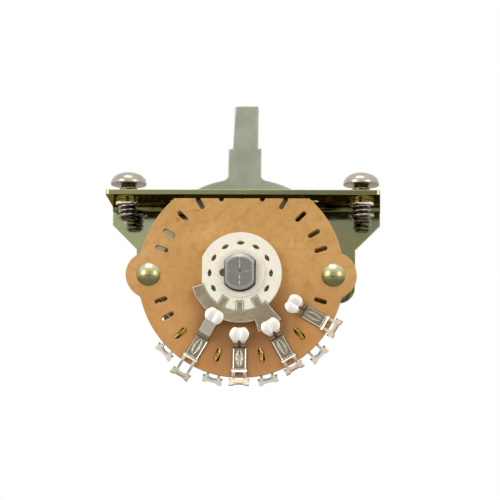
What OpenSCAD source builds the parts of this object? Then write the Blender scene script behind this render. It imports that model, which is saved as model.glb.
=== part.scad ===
// Guitar pickup selector: a three-position lever switch on an open frame.
// A folded steel bracket carries a shaft, and the lever on that shaft turns a
// nylon rotor in a phenolic wafer, whose spring clips wipe the rotor's blades.
// Origin: midway between the two screw holes, on the plate's top face.
// +Z points up along the lever, +X along the plate, and the wafer faces -Y.
// Angles on the wafer are counted from straight down, positive towards +X.

/* [Bracket] */
// Depth of the mounting plate from its front edge to the bracket's back
plate_d = 12.7; // [12.2:0.1:15]
// Thickness of the bracket's sheet steel
sheet_t = 0.85; // [0.7:0.05:1.1]
// Inside radius of the bracket's bend
bend_r = 0.8; // [0.5:0.1:1.4]
// Radius of the plate's front corners
plate_corner_r = 0.6; // [0.3:0.1:2]
// Distance between the two mounting screws
screw_pitch = 41.275; // [40.6:0.005:43]
// Distance from a mounting screw's middle to the near end of the plate
screw_inset = 3.3625; // [2.9:0.0125:4]
// Drop from the plate's top face to the shaft's axis
axis_drop = 15.2; // [14.8:0.1:16.2]
// Length of the slot that the lever swings in
slot_l = 26.6; // [26:0.1:29]
// Width of the slot that the lever swings in
slot_w = 1.9; // [1.6:0.05:2.4]
// Drop from the plate's top face to where the shoulders are cut away
shoulder_drop = 4.1; // [3.4:0.1:6]
// Distance between the two rivets
rivet_pitch = 32; // [31:0.1:33]
// Width of the bracket at its waist, across the two ears
waist_w = 39.2; // [38.6:0.1:41]
// Radius of the bracket's ears below the waist
ear_r = 2.9; // [2.7:0.1:3.5]
// Radius of the bracket's round lower edge around the bushing
hub_plate_r = 15.6; // [8:0.1:15.8]

/* [Screws] */
// Radius of the screws' thread
screw_r = 1.72; // [1.5:0.01:1.74]
// Radius of the tapped holes in the plate
tapped_r = 1.75; // [1.74:0.01:1.9]
// Outside radius of the drawn collars under the tapped holes
collar_r = 2.25; // [2.1:0.05:3]
// Height of the drawn collars below the plate
collar_h = 0.75; // [0.4:0.05:1.5]
// Length of the screws under the head
screw_l = 6.35; // [5:0.05:12]
// Height of the screw heads' underside above the plate
head_gap = 2.06; // [2.05:0.01:4]
// Radius of the screw heads
head_r = 3.2; // [2.8:0.1:3.5]
// Height of the screw heads
head_h = 2.5; // [1.8:0.1:3]
// Width of the cross recess in the screw heads
recess_w = 0.65; // [0.4:0.05:1]
// Length of the cross recess in the screw heads
recess_l = 3; // [2:0.1:3.6]
// Depth of the cross recess in the screw heads
recess_d = 1.3; // [0.8:0.1:1.6]

/* [Lever] */
// Thickness of the lever
lever_t = 1.3; // [1:0.05:1.5]
// Height of the lever's top above the shaft's axis
lever_top = 31.5; // [28:0.1:36]
// Height of the lever's shoulders above the shaft's axis
lever_shoulder = 23.8; // [21.5:0.1:26]
// Width of the lever's tip, which takes the knob
tip_w = 4.6; // [3.6:0.1:5]
// Width of the lever's neck under the shoulders
neck_w = 5.8; // [5.1:0.1:6.2]
// Radius of the lever's top corners
tip_corner_r = 0.35; // [0.2:0.05:0.8]
// Radius of the lever's sector, which fills the slot
sector_r = 18.4; // [17.9:0.1:18.8]
// Angle from the lever's middle to each flank of its sector
sector_half = 38; // [34:1:44]
// Radius of the fillets between the neck and the sector
fillet_r = 1; // [0.4:0.1:1.4]

/* [Detent] */
// Radius of the lever's lower hub, up to the crests of its notches
crest_r = 9; // [8.6:0.1:9.6]
// Depth of the notches in the lever's lower hub
notch_d = 0.4; // [0.2:0.05:0.6]
// Radius of the notches in the lever's lower hub
notch_r = 2; // [1.9:0.05:2.6]
// Radius of the detent roller
roller_r = 1.8; // [1.4:0.1:2]
// Length of the detent roller
roller_l = 2.9; // [2:0.1:3.2]
// Radius of the roller's pin
roller_pin_r = 0.7; // [0.5:0.05:0.8]
// Thickness of the yoke's sheet
yoke_t = 0.5; // [0.3:0.05:0.7]
// Length of the yoke along the index spring
yoke_l = 4.4; // [3.6:0.1:5.6]
// Width of the index spring
spring_w = 4; // [3:0.1:4.6]
// Thickness of the index spring
spring_t = 0.45; // [0.3:0.05:0.6]
// Length of the index spring's flat under the yoke
spring_flat_l = 8; // [6:0.1:10]

/* [Shaft] */
// Radius of the shaft
shaft_r = 3.175; // [3:0.005:3.3]
// Distance between the shaft's two flats
flats_w = 5; // [4.6:0.05:5.6]
// Length of the shaft in front of the rotor
shaft_proud = 1.7; // [1:0.1:4]
// Length of the shaft behind the retaining ring
shaft_tail = 1; // [0.6:0.1:3]
// Chamfer on the shaft's ends
shaft_chamfer = 0.4; // [0.2:0.05:0.8]
// Radius of the punch mark in the shaft's front end
punch_r = 0.45; // [0.2:0.05:0.8]
// Outside radius of the bushing's collar
bush_collar_r = 5; // [4.6:0.1:6]
// Radius of the bushing's neck in the bracket
bush_neck_r = 4.3; // [3.8:0.1:4.5]
// Length of the bushing's neck behind the bracket
bush_tail = 1.2; // [0.8:0.1:2]
// Thickness of the thrust washer
washer_t = 0.45; // [0.3:0.05:0.6]
// Outside radius of the thrust washer
washer_r = 5.2; // [4.5:0.1:6.5]
// Thickness of the retaining ring
ring_t = 0.6; // [0.4:0.05:0.8]
// Outside radius of the retaining ring
ring_r = 4.9; // [4.4:0.1:6]
// Depth of the retaining ring's groove in the shaft
groove_d = 0.6; // [0.3:0.05:0.9]

/* [Wafer] */
// Radius of the wafer
wafer_r = 17.8; // [17.2:0.1:18.4]
// Thickness of the wafer
wafer_t = 1.5; // [1.2:0.05:2]
// Height of the wafer's straight top edge above the shaft's axis
wafer_flat = 13.4; // [12.8:0.1:13.9]
// Radius of the wafer's ears around the rivets
wafer_ear_r = 4; // [3.6:0.1:4.6]
// Distance from the wafer's edge in to the middles of its contact slots
slot_inset = 3.3; // [2.9:0.05:3.6]
// Radial length of a contact slot
contact_slot_l = 2.4; // [2:0.05:2.6]
// Width of a contact slot
contact_slot_w = 0.9; // [0.8:0.05:1.2]
// Distance between the bracket and the wafer
spacer_l = 11.5; // [10.8:0.1:13]
// Outside radius of the spacers
spacer_r = 2.4; // [2:0.1:2.8]
// Radius of the rivets' shanks
rivet_r = 1.25; // [1:0.05:1.6]
// Radius of the rivets' round heads
rivet_head_r = 2.1; // [1.9:0.05:2.6]
// Height of the rivets' round heads
rivet_head_h = 0.95; // [0.6:0.05:1.3]

/* [Rotor] */
// Radius of the rotor's two discs
rotor_r = 7.15; // [6.9:0.05:7.2]
// Distance from the shaft's axis to the flat on the rotor's side
rotor_flat = 6.6; // [6.3:0.05:7]
// Radius of the rotor's barrel in the wafer
barrel_r = 5.95; // [5.8:0.05:6.2]
// Height of the rotor's face above the wafer
rotor_rise = 1.6; // [1.4:0.05:2]
// Height of the ring around the rotor's bore
hub_ring_h = 0.6; // [0.3:0.05:1]
// Outside radius of the ring around the rotor's bore
hub_ring_r = 4.25; // [4:0.05:4.5]
// Radius of the circle that the rotor's holes lie on
rotor_hole_circle_r = 5.3; // [5.2:0.05:5.5]
// Length of a rotor hole, along its circle
rotor_hole_l = 1.4; // [1:0.05:1.6]
// Width of a rotor hole
rotor_hole_w = 0.7; // [0.4:0.05:0.8]
// Depth of a rotor hole
rotor_hole_d = 2.2; // [1:0.1:2.6]
// Gap around the shaft in the ring around the rotor's bore
hub_gap = 0.2; // [0.05:0.05:0.4]
// Thickness of the rotor blades
blade_t = 0.3; // [0.2:0.05:0.4]
// Inside radius of the blades' arcs
blade_in_r = 6.5; // [6.3:0.05:6.7]
// Outside radius of the blades' arcs
blade_out_r = 8.6; // [8.4:0.05:8.9]
// Outside radius of the blades' wiping tabs
blade_tab_r = 10.7; // [10.4:0.05:11]
// Radius that the blades' inner tabs reach in to
blade_foot_r = 4.9; // [4.7:0.05:5.1]
// Width of the blades' inner tabs
blade_foot_w = 1.15; // [0.9:0.05:1.8]
// Width of a blade's wiping tab in degrees
blade_tab_deg = 24; // [20:1:26]

/* [Contact clips] */
// Thickness of the clips' spring metal
clip_t = 0.3; // [0.2:0.05:0.35]
// Width of a clip's body
clip_w = 2.4; // [2.2:0.05:2.8]
// Width of a clip's neck
clip_neck_w = 2.1; // [1.7:0.05:2.3]
// Length of the hole in a short clip's neck
neck_hole_l = 1.1; // [0.9:0.05:1.3]
// Width of the hole in a short clip's neck
neck_hole_w = 0.7; // [0.5:0.05:0.9]
// Length of a clip's body along the wafer
clip_body_l = 4.4; // [4.1:0.05:4.6]
// Width of a clip's two-lobed head
clip_head_w = 3.2; // [2.8:0.05:3.4]
// Length of a clip's two-lobed head
clip_head_l = 2.1; // [1.9:0.05:2.3]
// Radius that the middle of a short clip's head lies on
short_head_r = 10.6; // [10.35:0.05:10.7]
// Radius that the middle of a common clip's head lies on
long_head_r = 8.6; // [8.4:0.05:8.7]
// Reach of the front clips' solder lugs beyond the wafer's edge
front_lug_reach = 1.6; // [1.3:0.05:2.7]
// Reach of the front common clip's solder lug beyond the wafer's edge
front_common_lug_reach = 2.9; // [1.3:0.05:3.4]
// Reach of the rear clips' solder lugs beyond the wafer's edge
rear_lug_reach = 1.5; // [1.3:0.05:2.7]
// Reach of the rear common clip's solder lug beyond the wafer's edge
rear_common_lug_reach = 2.05; // [1.3:0.05:3.4]
// Width of a solder lug across its ears
lug_w = 3.5; // [3.2:0.05:4]
// Length of a solder lug, seen from in front
lug_l = 1.15; // [1:0.05:1.4]
// Width of a solder lug's ears
lug_ear_w = 0.75; // [0.6:0.05:0.9]
// Depth of the recess between a solder lug's ears
lug_recess = 0.2; // [0.1:0.05:0.3]
// Angle that a solder lug is bent away from the wafer
lug_bend_deg = 28; // [0:1:35]
// Width of a clip's legs over the wafer's edge
leg_w = 0.45; // [0.4:0.05:0.6]
// Height of the step from a clip's body up to its legs
leg_rise = 0.45; // [0.3:0.05:0.7]
// Length of the rivet-like crease on a clip's body
crease_l = 3.5; // [3:0.05:3.7]
// Width of the rivet-like crease on a clip's body
crease_w = 1.15; // [0.9:0.05:1.3]
// Height of a clinched tab on the wafer's other face
clinch_h = 0.55; // [0.3:0.05:0.8]

/* [Fits] */
// Radial gap of what turns in a bore
run_gap = 0.05; // [0.02:0.01:0.08]
// Gap between parts that are pushed onto each other
push_gap = 0.02; // [0.01:0.01:0.04]
// Gap between faces that slide past each other
slide_gap = 0.05; // [0.03:0.01:0.1]
// Gap between the rotor and the wafer
rotor_gap = 0.1; // [0.06:0.01:0.15]

/* [Hidden] */
$fn = 64;

// How far a cutter runs past the face that it opens
past = 1;

// The plate ends a fixed distance beyond its two screws
plate_l = screw_pitch + 2 * screw_inset;

// Depths along the shaft, from the bracket forwards
flange_back_y = plate_d / 2;
flange_front_y = flange_back_y - sheet_t;
wafer_back_y = flange_front_y - spacer_l;
wafer_front_y = wafer_back_y - wafer_t;
rotor_front_y = wafer_front_y - rotor_rise;
rotor_back_y = wafer_back_y + rotor_rise;
shaft_front_y = rotor_front_y - hub_ring_h - shaft_proud;
washer_front_y = lever_t / 2 + push_gap;
bush_front_y = washer_front_y + washer_t + slide_gap;
bush_back_y = flange_back_y + bush_tail;
ring_front_y = bush_back_y + slide_gap;
groove_front_y = ring_front_y - push_gap;
groove_back_y = ring_front_y + ring_t + push_gap;
shaft_back_y = groove_back_y + shaft_tail;
groove_r = shaft_r - groove_d;

// Angle between two neighbouring positions of the lever
position_step = 30;

// Places around the wafer
front_common_deg = -30;
front_first_deg = 0;
rear_common_deg = 45;
rear_first_deg = -45;
contact_slot_degs = [
    0, 15, 30, 45, 60, 72, 108, 120, 135, 150, 165, 180,
    -15, -30, -45, -60, -72, -108, -120, -135, -150, -165];
front_foot_degs = [-30, 0, 30];
rear_foot_degs = [0, 30, 60];
rotor_hole_step = 30;
// How far a common clip's head must stay covered beside its middle
cover_deg = 12;
front_tab_deg = front_first_deg + position_step;
rear_tab_deg = rear_first_deg + position_step;
front_far_deg = front_common_deg - position_step - cover_deg - 1;
rear_far_deg = rear_common_deg + position_step + cover_deg + 1;

// Rise of the arch between a clip's legs into its solder lug
lug_arch = 0.3;

// Clips, measured out from the shaft's axis and up from the wafer's face
slot_circle_r = wafer_r - slot_inset;
clip_body_in = slot_circle_r + 0.4 - clip_body_l / 2;
clip_body_out = clip_body_in + clip_body_l;
clip_flat = clip_t / 2;
upper_jaw = rotor_rise + slide_gap + clip_flat;
lower_jaw = rotor_rise - blade_t - slide_gap - clip_flat;
// How far the body overlaps the neck, and the legs overlap the body and the lug
clip_lap = 0.2;
// Run of the slope between a jaw and its neck, and between the body and the legs
clip_slope = 0.35;

// Detent, measured down from the shaft's axis
roller_drop = crest_r + slide_gap + roller_r;
yoke_floor_drop = roller_drop + roller_r + 2 * slide_gap;
spring_top_drop = yoke_floor_drop + yoke_t + push_gap;
spring_mid_drop = spring_top_drop + spring_t / 2;

// Colours
zinc = [0.56, 0.58, 0.44];
nickel = [0.78, 0.79, 0.76];
spring_silver = [0.86, 0.85, 0.80];
tan_board = [0.78, 0.60, 0.38];
cream = [0.94, 0.92, 0.88];
dull_steel = [0.63, 0.63, 0.55];
dark_steel = [0.42, 0.42, 0.43];
screw_grey = [0.66, 0.60, 0.58];
brass_tone = [0.75, 0.62, 0.35];

// Lays a drawing made around the shaft's axis flat against depth y, facing front
module facing(y, thickness) {
    translate([0, y, -axis_drop]) rotate([90, 0, 0]) linear_extrude(thickness) children();
}

// Turns a profile of radius and depth around the shaft's axis, or a parallel one
module turned(x = 0, drop = 0) {
    translate([x, 0, -axis_drop - drop]) rotate([-90, 0, 0]) rotate_extrude() children();
}

// Stands a clip that was drawn flat on the wafer's front face, at an angle
module on_front(deg) {
    translate([0, wafer_front_y, -axis_drop]) rotate([0, 90 - deg, 0]) rotate([90, 0, 0]) children();
}

// The same on the wafer's rear face
module on_rear(deg) {
    translate([0, wafer_back_y, -axis_drop]) rotate([0, 90 - deg, 0]) rotate([-90, 0, 0]) children();
}

// A pointed oval, its length along Y
module pointed_oval(length, width) {
    arc_r = (length * length + width * width) / (4 * width);
    intersection_for(side = [-1, 1]) translate([side * (arc_r - width / 2), 0]) circle(r = arc_r);
}

// A slot with round ends, its length along X
module stadium(length, width) {
    square([length - width, width], center = true);
    for (side = [-1, 1]) translate([side * (length - width) / 2, 0]) circle(d = width);
}

// A pie slice of the plane between two angles from straight down
module slice(from, to, reach) {
    steps = ceil((to - from) / 30);
    rim = [for (i = [0 : steps]) let (a = from + (to - from) * i / steps)
        [reach * sin(a), -reach * cos(a)]];
    polygon(concat([[0, 0]], rim));
}

// A ring between two radii and two angles from straight down
module arc_band(inner, outer, from, to) {
    intersection() {
        difference() {
            circle(r = outer);
            circle(r = inner);
        }
        slice(from, to, 2 * outer);
    }
}

// A bent strip along a row of points, with round bends
module strip(points, thickness) {
    for (i = [0 : len(points) - 2]) {
        run = points[i + 1] - points[i];
        translate(points[i]) rotate(atan2(run[1], run[0]))
            translate([0, -thickness / 2]) square([norm(run), thickness]);
    }
    if (len(points) > 2)
        for (i = [1 : len(points) - 2]) translate(points[i]) circle(d = thickness);
}

// A folded strip along a row of points that runs towards smaller X, its folds mitred
function run_normal(points, i) =
    let (run = points[i + 1] - points[i]) [-run[1], run[0]] / norm(run);

function mitre(points, i, last) =
    let (before = run_normal(points, max(i - 1, 0)), after = run_normal(points, min(i, last - 1)))
    (before + after) / (1 + before * after);

module folded(points, thickness) {
    last = len(points) - 1;
    upper = [for (i = [0 : last]) points[i] - thickness / 2 * mitre(points, i, last)];
    lower = [for (i = [0 : last]) points[last - i] + thickness / 2 * mitre(points, last - i, last)];
    polygon(concat(upper, lower));
}

// Bracket: plate, bend, upright flange and the drawn collars
module plate_outline() {
    half = plate_l / 2;
    depth = plate_d - sheet_t - bend_r;
    translate([-half, -plate_d / 2 + plate_corner_r])
        square([plate_l, depth - plate_corner_r]);
    translate([-half + plate_corner_r, -plate_d / 2])
        square([plate_l - 2 * plate_corner_r, depth]);
    for (side = [-1, 1])
        translate([side * (half - plate_corner_r), -plate_d / 2 + plate_corner_r])
            circle(r = plate_corner_r);
}

module bend_section() {
    translate([flange_front_y - bend_r, -sheet_t - bend_r]) intersection() {
        difference() {
            circle(r = bend_r + sheet_t);
            circle(r = bend_r);
        }
        square(bend_r + sheet_t);
    }
}

module flange_outline() {
    half = plate_l / 2;
    waist = waist_w / 2;
    top = axis_drop - sheet_t - bend_r;
    shoulder = axis_drop - shoulder_drop;
    under = shoulder - (half - waist);
    polygon([
        [-half, top], [half, top], [half, shoulder], [waist, under],
        [waist, 0], [-waist, 0], [-waist, under], [-half, shoulder]]);
    for (side = [-1, 1]) translate([side * (waist - ear_r), 0]) circle(r = ear_r);
    translate([ear_r - waist, -ear_r]) square([2 * (waist - ear_r), ear_r]);
    intersection() {
        circle(r = hub_plate_r);
        translate([-waist, -waist]) square([2 * waist, waist]);
    }
}

module bracket() {
    color(zinc) difference() {
        union() {
            translate([0, 0, -sheet_t]) linear_extrude(sheet_t) plate_outline();
            translate([-plate_l / 2, 0, 0]) rotate([90, 0, 90]) linear_extrude(plate_l) bend_section();
            facing(flange_back_y, sheet_t) flange_outline();
            for (side = [-1, 1])
                translate([side * screw_pitch / 2, 0, -sheet_t - collar_h]) collar_blank();
        }
        translate([0, 0, -2 * sheet_t]) linear_extrude(3 * sheet_t) stadium(slot_l, slot_w);
        for (side = [-1, 1]) {
            translate([side * screw_pitch / 2, 0, -sheet_t - 2 * collar_h])
                cylinder(r = tapped_r, h = 2 * sheet_t + 2 * collar_h);
            translate([side * rivet_pitch / 2, flange_back_y + past, -axis_drop])
                rotate([90, 0, 0]) cylinder(r = rivet_r + push_gap, h = sheet_t + 2 * past);
        }
        translate([0, flange_back_y + past, -axis_drop])
            rotate([90, 0, 0]) cylinder(r = bush_neck_r, h = sheet_t + 2 * past);
    }
}

module collar_blank() {
    edge = collar_h / 4;
    cylinder(r1 = collar_r - edge, r2 = collar_r, h = edge);
    translate([0, 0, edge]) cylinder(r = collar_r, h = collar_h);
}

// Bushing: turned, pressed in from the front and staked over at the back
module bearing_bushing() {
    stake = 0.5;
    color(brass_tone) turned() polygon([
        [shaft_r + run_gap, bush_front_y], [bush_collar_r, bush_front_y],
        [bush_collar_r, flange_front_y], [bush_neck_r, flange_front_y],
        [bush_neck_r, flange_back_y], [bush_neck_r + stake, flange_back_y],
        [bush_neck_r, flange_back_y + stake], [bush_neck_r, bush_back_y],
        [shaft_r + run_gap, bush_back_y]]);
}

// Spacers and rivets hold the wafer parallel to the bracket
module spacer(side) {
    color(nickel) turned(side * rivet_pitch / 2)
        translate([rivet_r + push_gap, wafer_back_y])
            square([spacer_r - rivet_r - push_gap, spacer_l]);
}

// Half section of a dome on the line y = 0, its top towards way times +Y
module domed(radius, height, way) {
    dome_r = (radius * radius + height * height) / (2 * height);
    intersection() {
        translate([0, way * (height - dome_r)]) circle(r = dome_r);
        translate([0, min(0, way * height)]) square([radius, height]);
    }
}

module rivet(side) {
    color(zinc) turned(side * rivet_pitch / 2) {
        translate([0, wafer_front_y]) domed(rivet_head_r, rivet_head_h, -1);
        translate([0, wafer_front_y])
            square([rivet_r, flange_back_y - wafer_front_y]);
        translate([0, flange_back_y]) domed(0.9 * rivet_head_r, 0.7 * rivet_head_h, 1);
    }
}

// Wafer: punched board with ears, a straight top and a circle of slots
module wafer() {
    color(tan_board) facing(wafer_back_y, wafer_t) difference() {
        intersection() {
            union() {
                circle(r = wafer_r);
                for (side = [-1, 1]) translate([side * rivet_pitch / 2, 0]) circle(r = wafer_ear_r);
            }
            translate([-2 * wafer_r, -2 * wafer_r]) square([4 * wafer_r, 2 * wafer_r + wafer_flat]);
        }
        circle(r = barrel_r + rotor_gap);
        for (side = [-1, 1])
            translate([side * rivet_pitch / 2, 0]) circle(r = rivet_r + push_gap);
        for (a = contact_slot_degs)
            rotate(a + 90) translate([-slot_circle_r, 0]) stadium(contact_slot_l, contact_slot_w);
    }
}

// Spring clips. Each is one folded strip: its outline from above is cut out of
// its section from the side. X runs outwards from the shaft, Z off the wafer.
module head_outline(middle) {
    waist_w = 0.72 * clip_head_w;
    corner = 0.3 * clip_head_l;
    half_l = clip_head_l / 2;
    half_w = clip_head_w / 2;
    for (side = [-1, 1]) polygon([
        [middle - half_l, 0], [middle - half_l + 0.1, side * (half_w - corner)],
        [middle - half_l + corner, side * half_w], [middle + half_l - 1.4 * corner, side * half_w],
        [middle + half_l - 0.6 * corner, side * (half_w - 0.4 * corner)],
        [middle + half_l, side * waist_w / 2], [middle + half_l, 0]]);
}

module lug_outline(end) {
    half = lug_w / 2;
    cove = half - lug_ear_w;
    leg_gap = clip_w / 2 - leg_w;
    arch_r = (leg_gap * leg_gap + lug_arch * lug_arch) / (2 * lug_arch);
    difference() {
        translate([end - lug_l, -half]) square([lug_l, lug_w]);
        translate([end - lug_l + lug_arch - arch_r, 0]) circle(r = arch_r);
        polygon([
            [end + past, -cove - past], [end + past, cove + past],
            [end - lug_recess, cove - lug_recess], [end - lug_recess, lug_recess - cove]]);
    }
}

module clip_outline(middle, lug_end) {
    head_outline(middle);
    translate([middle, -clip_neck_w / 2]) square([clip_body_in - middle + clip_lap, clip_neck_w]);
    translate([clip_body_in, -clip_w / 2]) square([clip_body_l, clip_w]);
    for (side = [-1, 1])
        translate([clip_body_out - clip_lap, side * (clip_w - leg_w) / 2 - leg_w / 2])
            square([lug_end - lug_l - clip_body_out + 2 * clip_lap, leg_w]);
    lug_outline(lug_end);
}

module clip_section(middle, lug_end) {
    tip = lug_end + past;
    lug_start = lug_end - lug_l;
    raised = clip_flat + leg_rise;
    folded([
        [tip, raised + (tip - lug_start) * tan(lug_bend_deg)], [lug_start, raised],
        [clip_body_out - clip_lap, raised], [clip_body_out - clip_lap - clip_slope, clip_flat],
        [clip_body_in + clip_lap, clip_flat],
        [middle + clip_head_l / 2 + clip_slope, upper_jaw], [middle - clip_head_l, upper_jaw]], clip_t);
}

// The second jaw leaves the arm under the head, so the blade runs between the two
module second_jaw(middle) {
    jaw_w = 0.62 * clip_head_w;
    jaw_start = middle - clip_head_l / 2 + clip_lap;
    translate([0, jaw_w / 2, 0]) rotate([90, 0, 0]) linear_extrude(jaw_w) folded([
        [clip_body_in + clip_lap, clip_flat], [middle + clip_head_l / 2 + clip_slope, lower_jaw],
        [jaw_start, lower_jaw]], clip_t);
}

module crease_slit() {
    rotate(90) pointed_oval(0.72 * crease_l, 0.5 * crease_w);
}

module clip(middle, lug_end, neck_hole_l) {
    span = lug_w + past;
    difference() {
        intersection() {
            linear_extrude(upper_jaw + clip_t) clip_outline(middle, lug_end);
            translate([0, span / 2, 0]) rotate([90, 0, 0])
                linear_extrude(span) clip_section(middle, lug_end);
        }
        if (neck_hole_l > 0) translate([clip_body_in - neck_hole_l / 2, 0, -past])
            linear_extrude(upper_jaw + 2 * past) stadium(neck_hole_l, neck_hole_w);
        translate([slot_circle_r, 0, 0.4 * clip_t]) linear_extrude(clip_t) crease_slit();
    }
    second_jaw(middle);
    translate([slot_circle_r, 0, clip_flat]) linear_extrude(clip_t) difference() {
        rotate(90) pointed_oval(crease_l, crease_w);
        crease_slit();
    }
    clinch();
}

// The tab that goes through the wafer's slot and is spread on the other face
module clinch() {
    tab_l = 0.72 * contact_slot_l;
    tab_w = 0.4 * contact_slot_w;
    translate([slot_circle_r - tab_l / 2, -tab_w / 2, -wafer_t - clinch_h / 2])
        cube([tab_l, tab_w, wafer_t + clinch_h / 2 + clip_t]);
    translate([slot_circle_r, 0, -wafer_t - clinch_h]) linear_extrude(clinch_h)
        rotate(90) pointed_oval(1.25 * contact_slot_l, 0.8 * contact_slot_w);
}

module front_clip(index) {
    deg = index == 0 ? front_common_deg : front_first_deg + (index - 1) * position_step;
    middle = index == 0 ? long_head_r : short_head_r;
    lug_end = wafer_r + (index == 0 ? front_common_lug_reach : front_lug_reach);
    color(spring_silver) on_front(deg) clip(middle, lug_end, index == 0 ? 0 : neck_hole_l);
}

module rear_clip(index) {
    deg = index == 0 ? rear_common_deg : rear_first_deg + (index - 1) * position_step;
    middle = index == 0 ? long_head_r : short_head_r;
    lug_end = wafer_r + (index == 0 ? rear_common_lug_reach : rear_lug_reach);
    color(spring_silver) on_rear(deg) clip(middle, lug_end, index == 0 ? 0 : neck_hole_l);
}

// Mounting screws, standing loose in the tapped holes as the switch is sold
module mounting_screw(side) {
    band = 0.2 * head_h;
    tip = 0.4;
    color(screw_grey) translate([side * screw_pitch / 2, 0, head_gap]) difference() {
        rotate_extrude() {
            square([head_r, band]);
            translate([0, band]) domed(head_r, head_h - band, 1);
            polygon([
                [0, -screw_l], [screw_r - tip, -screw_l], [screw_r, -screw_l + tip],
                [screw_r, band / 2], [0, band / 2]]);
        }
        for (turn = [0, 90])
            translate([0, 0, head_h - recess_d / 2 + 0.01]) rotate(turn)
                cube([recess_l, recess_w, recess_d], center = true);
    }
}

// Index spring: a leaf whose ends are curled round the spacers
function eye_tangent_deg(eye, foot, radius) =
    atan2(foot[1] - eye[1], foot[0] - eye[0]) - acos(radius / norm(foot - eye));

module spring_side() {
    curl_deg = 250;
    lap_deg = 3;
    eye = [-rivet_pitch / 2, 0];
    foot = [-spring_flat_l / 2, -spring_mid_drop];
    eye_r = spacer_r + push_gap + spring_t / 2;
    lift = eye_tangent_deg(eye, foot, eye_r);
    touch = eye + eye_r * [cos(lift), sin(lift)];
    strip([touch, foot, [spring_t, -spring_mid_drop]], spring_t);
    translate(eye) rotate(lift + 90)
        arc_band(eye_r - spring_t / 2, eye_r + spring_t / 2, -curl_deg, lap_deg);
}

module index_spring() {
    color(nickel) facing(spring_w / 2, spring_w) {
        spring_side();
        mirror([1, 0]) spring_side();
    }
}

// Lever: tip, neck, sector and a lower hub with one notch for each position
module neck_fillet(side) {
    reach = sector_r + fillet_r;
    centre_x = neck_w / 2 + fillet_r;
    centre_z = sqrt(reach * reach - centre_x * centre_x);
    share = (sector_r - 0.1) / reach;
    low = [0, centre_z - 2 * fillet_r];
    inner = [side * centre_x * share, centre_z * share];
    outer = [side * centre_x, centre_z];
    high = [0, centre_z];
    difference() {
        polygon(side > 0 ? [low, inner, outer, high] : [high, outer, inner, low]);
        translate(outer) circle(r = fillet_r);
    }
}

module lever_outline() {
    half_tip = tip_w / 2;
    difference() {
        union() {
            translate([-half_tip, lever_shoulder - 1])
                square([tip_w, lever_top - lever_shoulder + 1 - tip_corner_r]);
            translate([-half_tip + tip_corner_r, lever_shoulder])
                square([tip_w - 2 * tip_corner_r, lever_top - lever_shoulder]);
            for (side = [-1, 1])
                translate([side * (half_tip - tip_corner_r), lever_top - tip_corner_r])
                    circle(r = tip_corner_r);
            translate([-neck_w / 2, 0]) square([neck_w, lever_shoulder]);
            neck_fillet(1);
            neck_fillet(-1);
            arc_band(crest_r - 1, sector_r, 180 - sector_half, 180 + sector_half);
            circle(r = crest_r);
        }
        for (step = [-1 : 1])
            rotate(step * position_step) translate([0, -crest_r + notch_d - notch_r])
                circle(r = notch_r);
        shaft_section(push_gap);
    }
}

module lever() {
    color(dull_steel) facing(lever_t / 2, lever_t) lever_outline();
}

// Shaft: round where it runs in the bushing, with two flats where it drives
module shaft_section(gap) {
    intersection() {
        circle(r = shaft_r + gap);
        square([flats_w + 2 * gap, 3 * shaft_r], center = true);
    }
}

module shaft() {
    flats_back_y = lever_t / 2;
    half = flats_w / 2;
    front = shaft_front_y;
    color(dark_steel) difference() {
        intersection() {
            turned() polygon([
                [0, front], [shaft_r - 1.8 * shaft_chamfer, front],
                [shaft_r, front + 1.3 * shaft_chamfer], [shaft_r, groove_front_y],
                [groove_r, groove_front_y], [groove_r, groove_back_y],
                [shaft_r, groove_back_y], [shaft_r, shaft_back_y - shaft_chamfer],
                [shaft_r - shaft_chamfer, shaft_back_y], [0, shaft_back_y]]);
            translate([0, 0, -axis_drop - 2 * shaft_r]) linear_extrude(4 * shaft_r) polygon([
                [-half + shaft_chamfer, front], [half - shaft_chamfer, front],
                [half, front + shaft_chamfer], [half, flats_back_y],
                [2 * shaft_r, flats_back_y], [2 * shaft_r, shaft_back_y],
                [-2 * shaft_r, shaft_back_y], [-2 * shaft_r, flats_back_y],
                [-half, flats_back_y], [-half, front + shaft_chamfer]]);
        }
        turned() polygon([[0, front - 0.01], [punch_r, front - 0.01], [0, front + punch_r]]);
    }
}

module thrust_washer() {
    color(nickel) turned() translate([shaft_r + run_gap, washer_front_y])
        square([washer_r - shaft_r - run_gap, washer_t]);
}

module retaining_ring() {
    mouth_w = 1.4 * groove_r;
    color(dark_steel) facing(ring_front_y + ring_t, ring_t) difference() {
        circle(r = ring_r);
        circle(r = groove_r + push_gap);
        translate([-mouth_w / 2, -ring_r - past]) square([mouth_w, ring_r + past]);
        for (side = [-1, 1])
            rotate(side * 105) translate([0, -groove_r - 0.5]) circle(r = 0.9);
    }
}

// Rotor: two nylon discs on the shaft's flats, the front one with the barrel
module rotor_disc_outline(reach) {
    difference() {
        intersection() {
            circle(r = reach);
            translate([-rotor_flat, -reach]) square([rotor_flat + reach, 2 * reach]);
        }
        shaft_section(push_gap);
    }
}

module blade_recess(from, to, feet) {
    arc_band(blade_in_r - slide_gap, 2 * rotor_r, from - 1, to + 1);
    for (a = feet) rotate(a) translate([0, -(blade_foot_r + blade_in_r) / 2]) square(
        [blade_foot_w + 0.3, blade_in_r - blade_foot_r + 0.3], center = true);
}

module rotor_holes(feet) {
    for (a = [0 : rotor_hole_step : 359]) {
        taken = len([for (f = feet) if (abs(f - a) < 1 || abs(f + 360 - a) < 1) f]) > 0;
        if (!taken) rotate(a) translate([0, -rotor_hole_circle_r])
            rotate(90) pointed_oval(rotor_hole_l, rotor_hole_w);
    }
}

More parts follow.
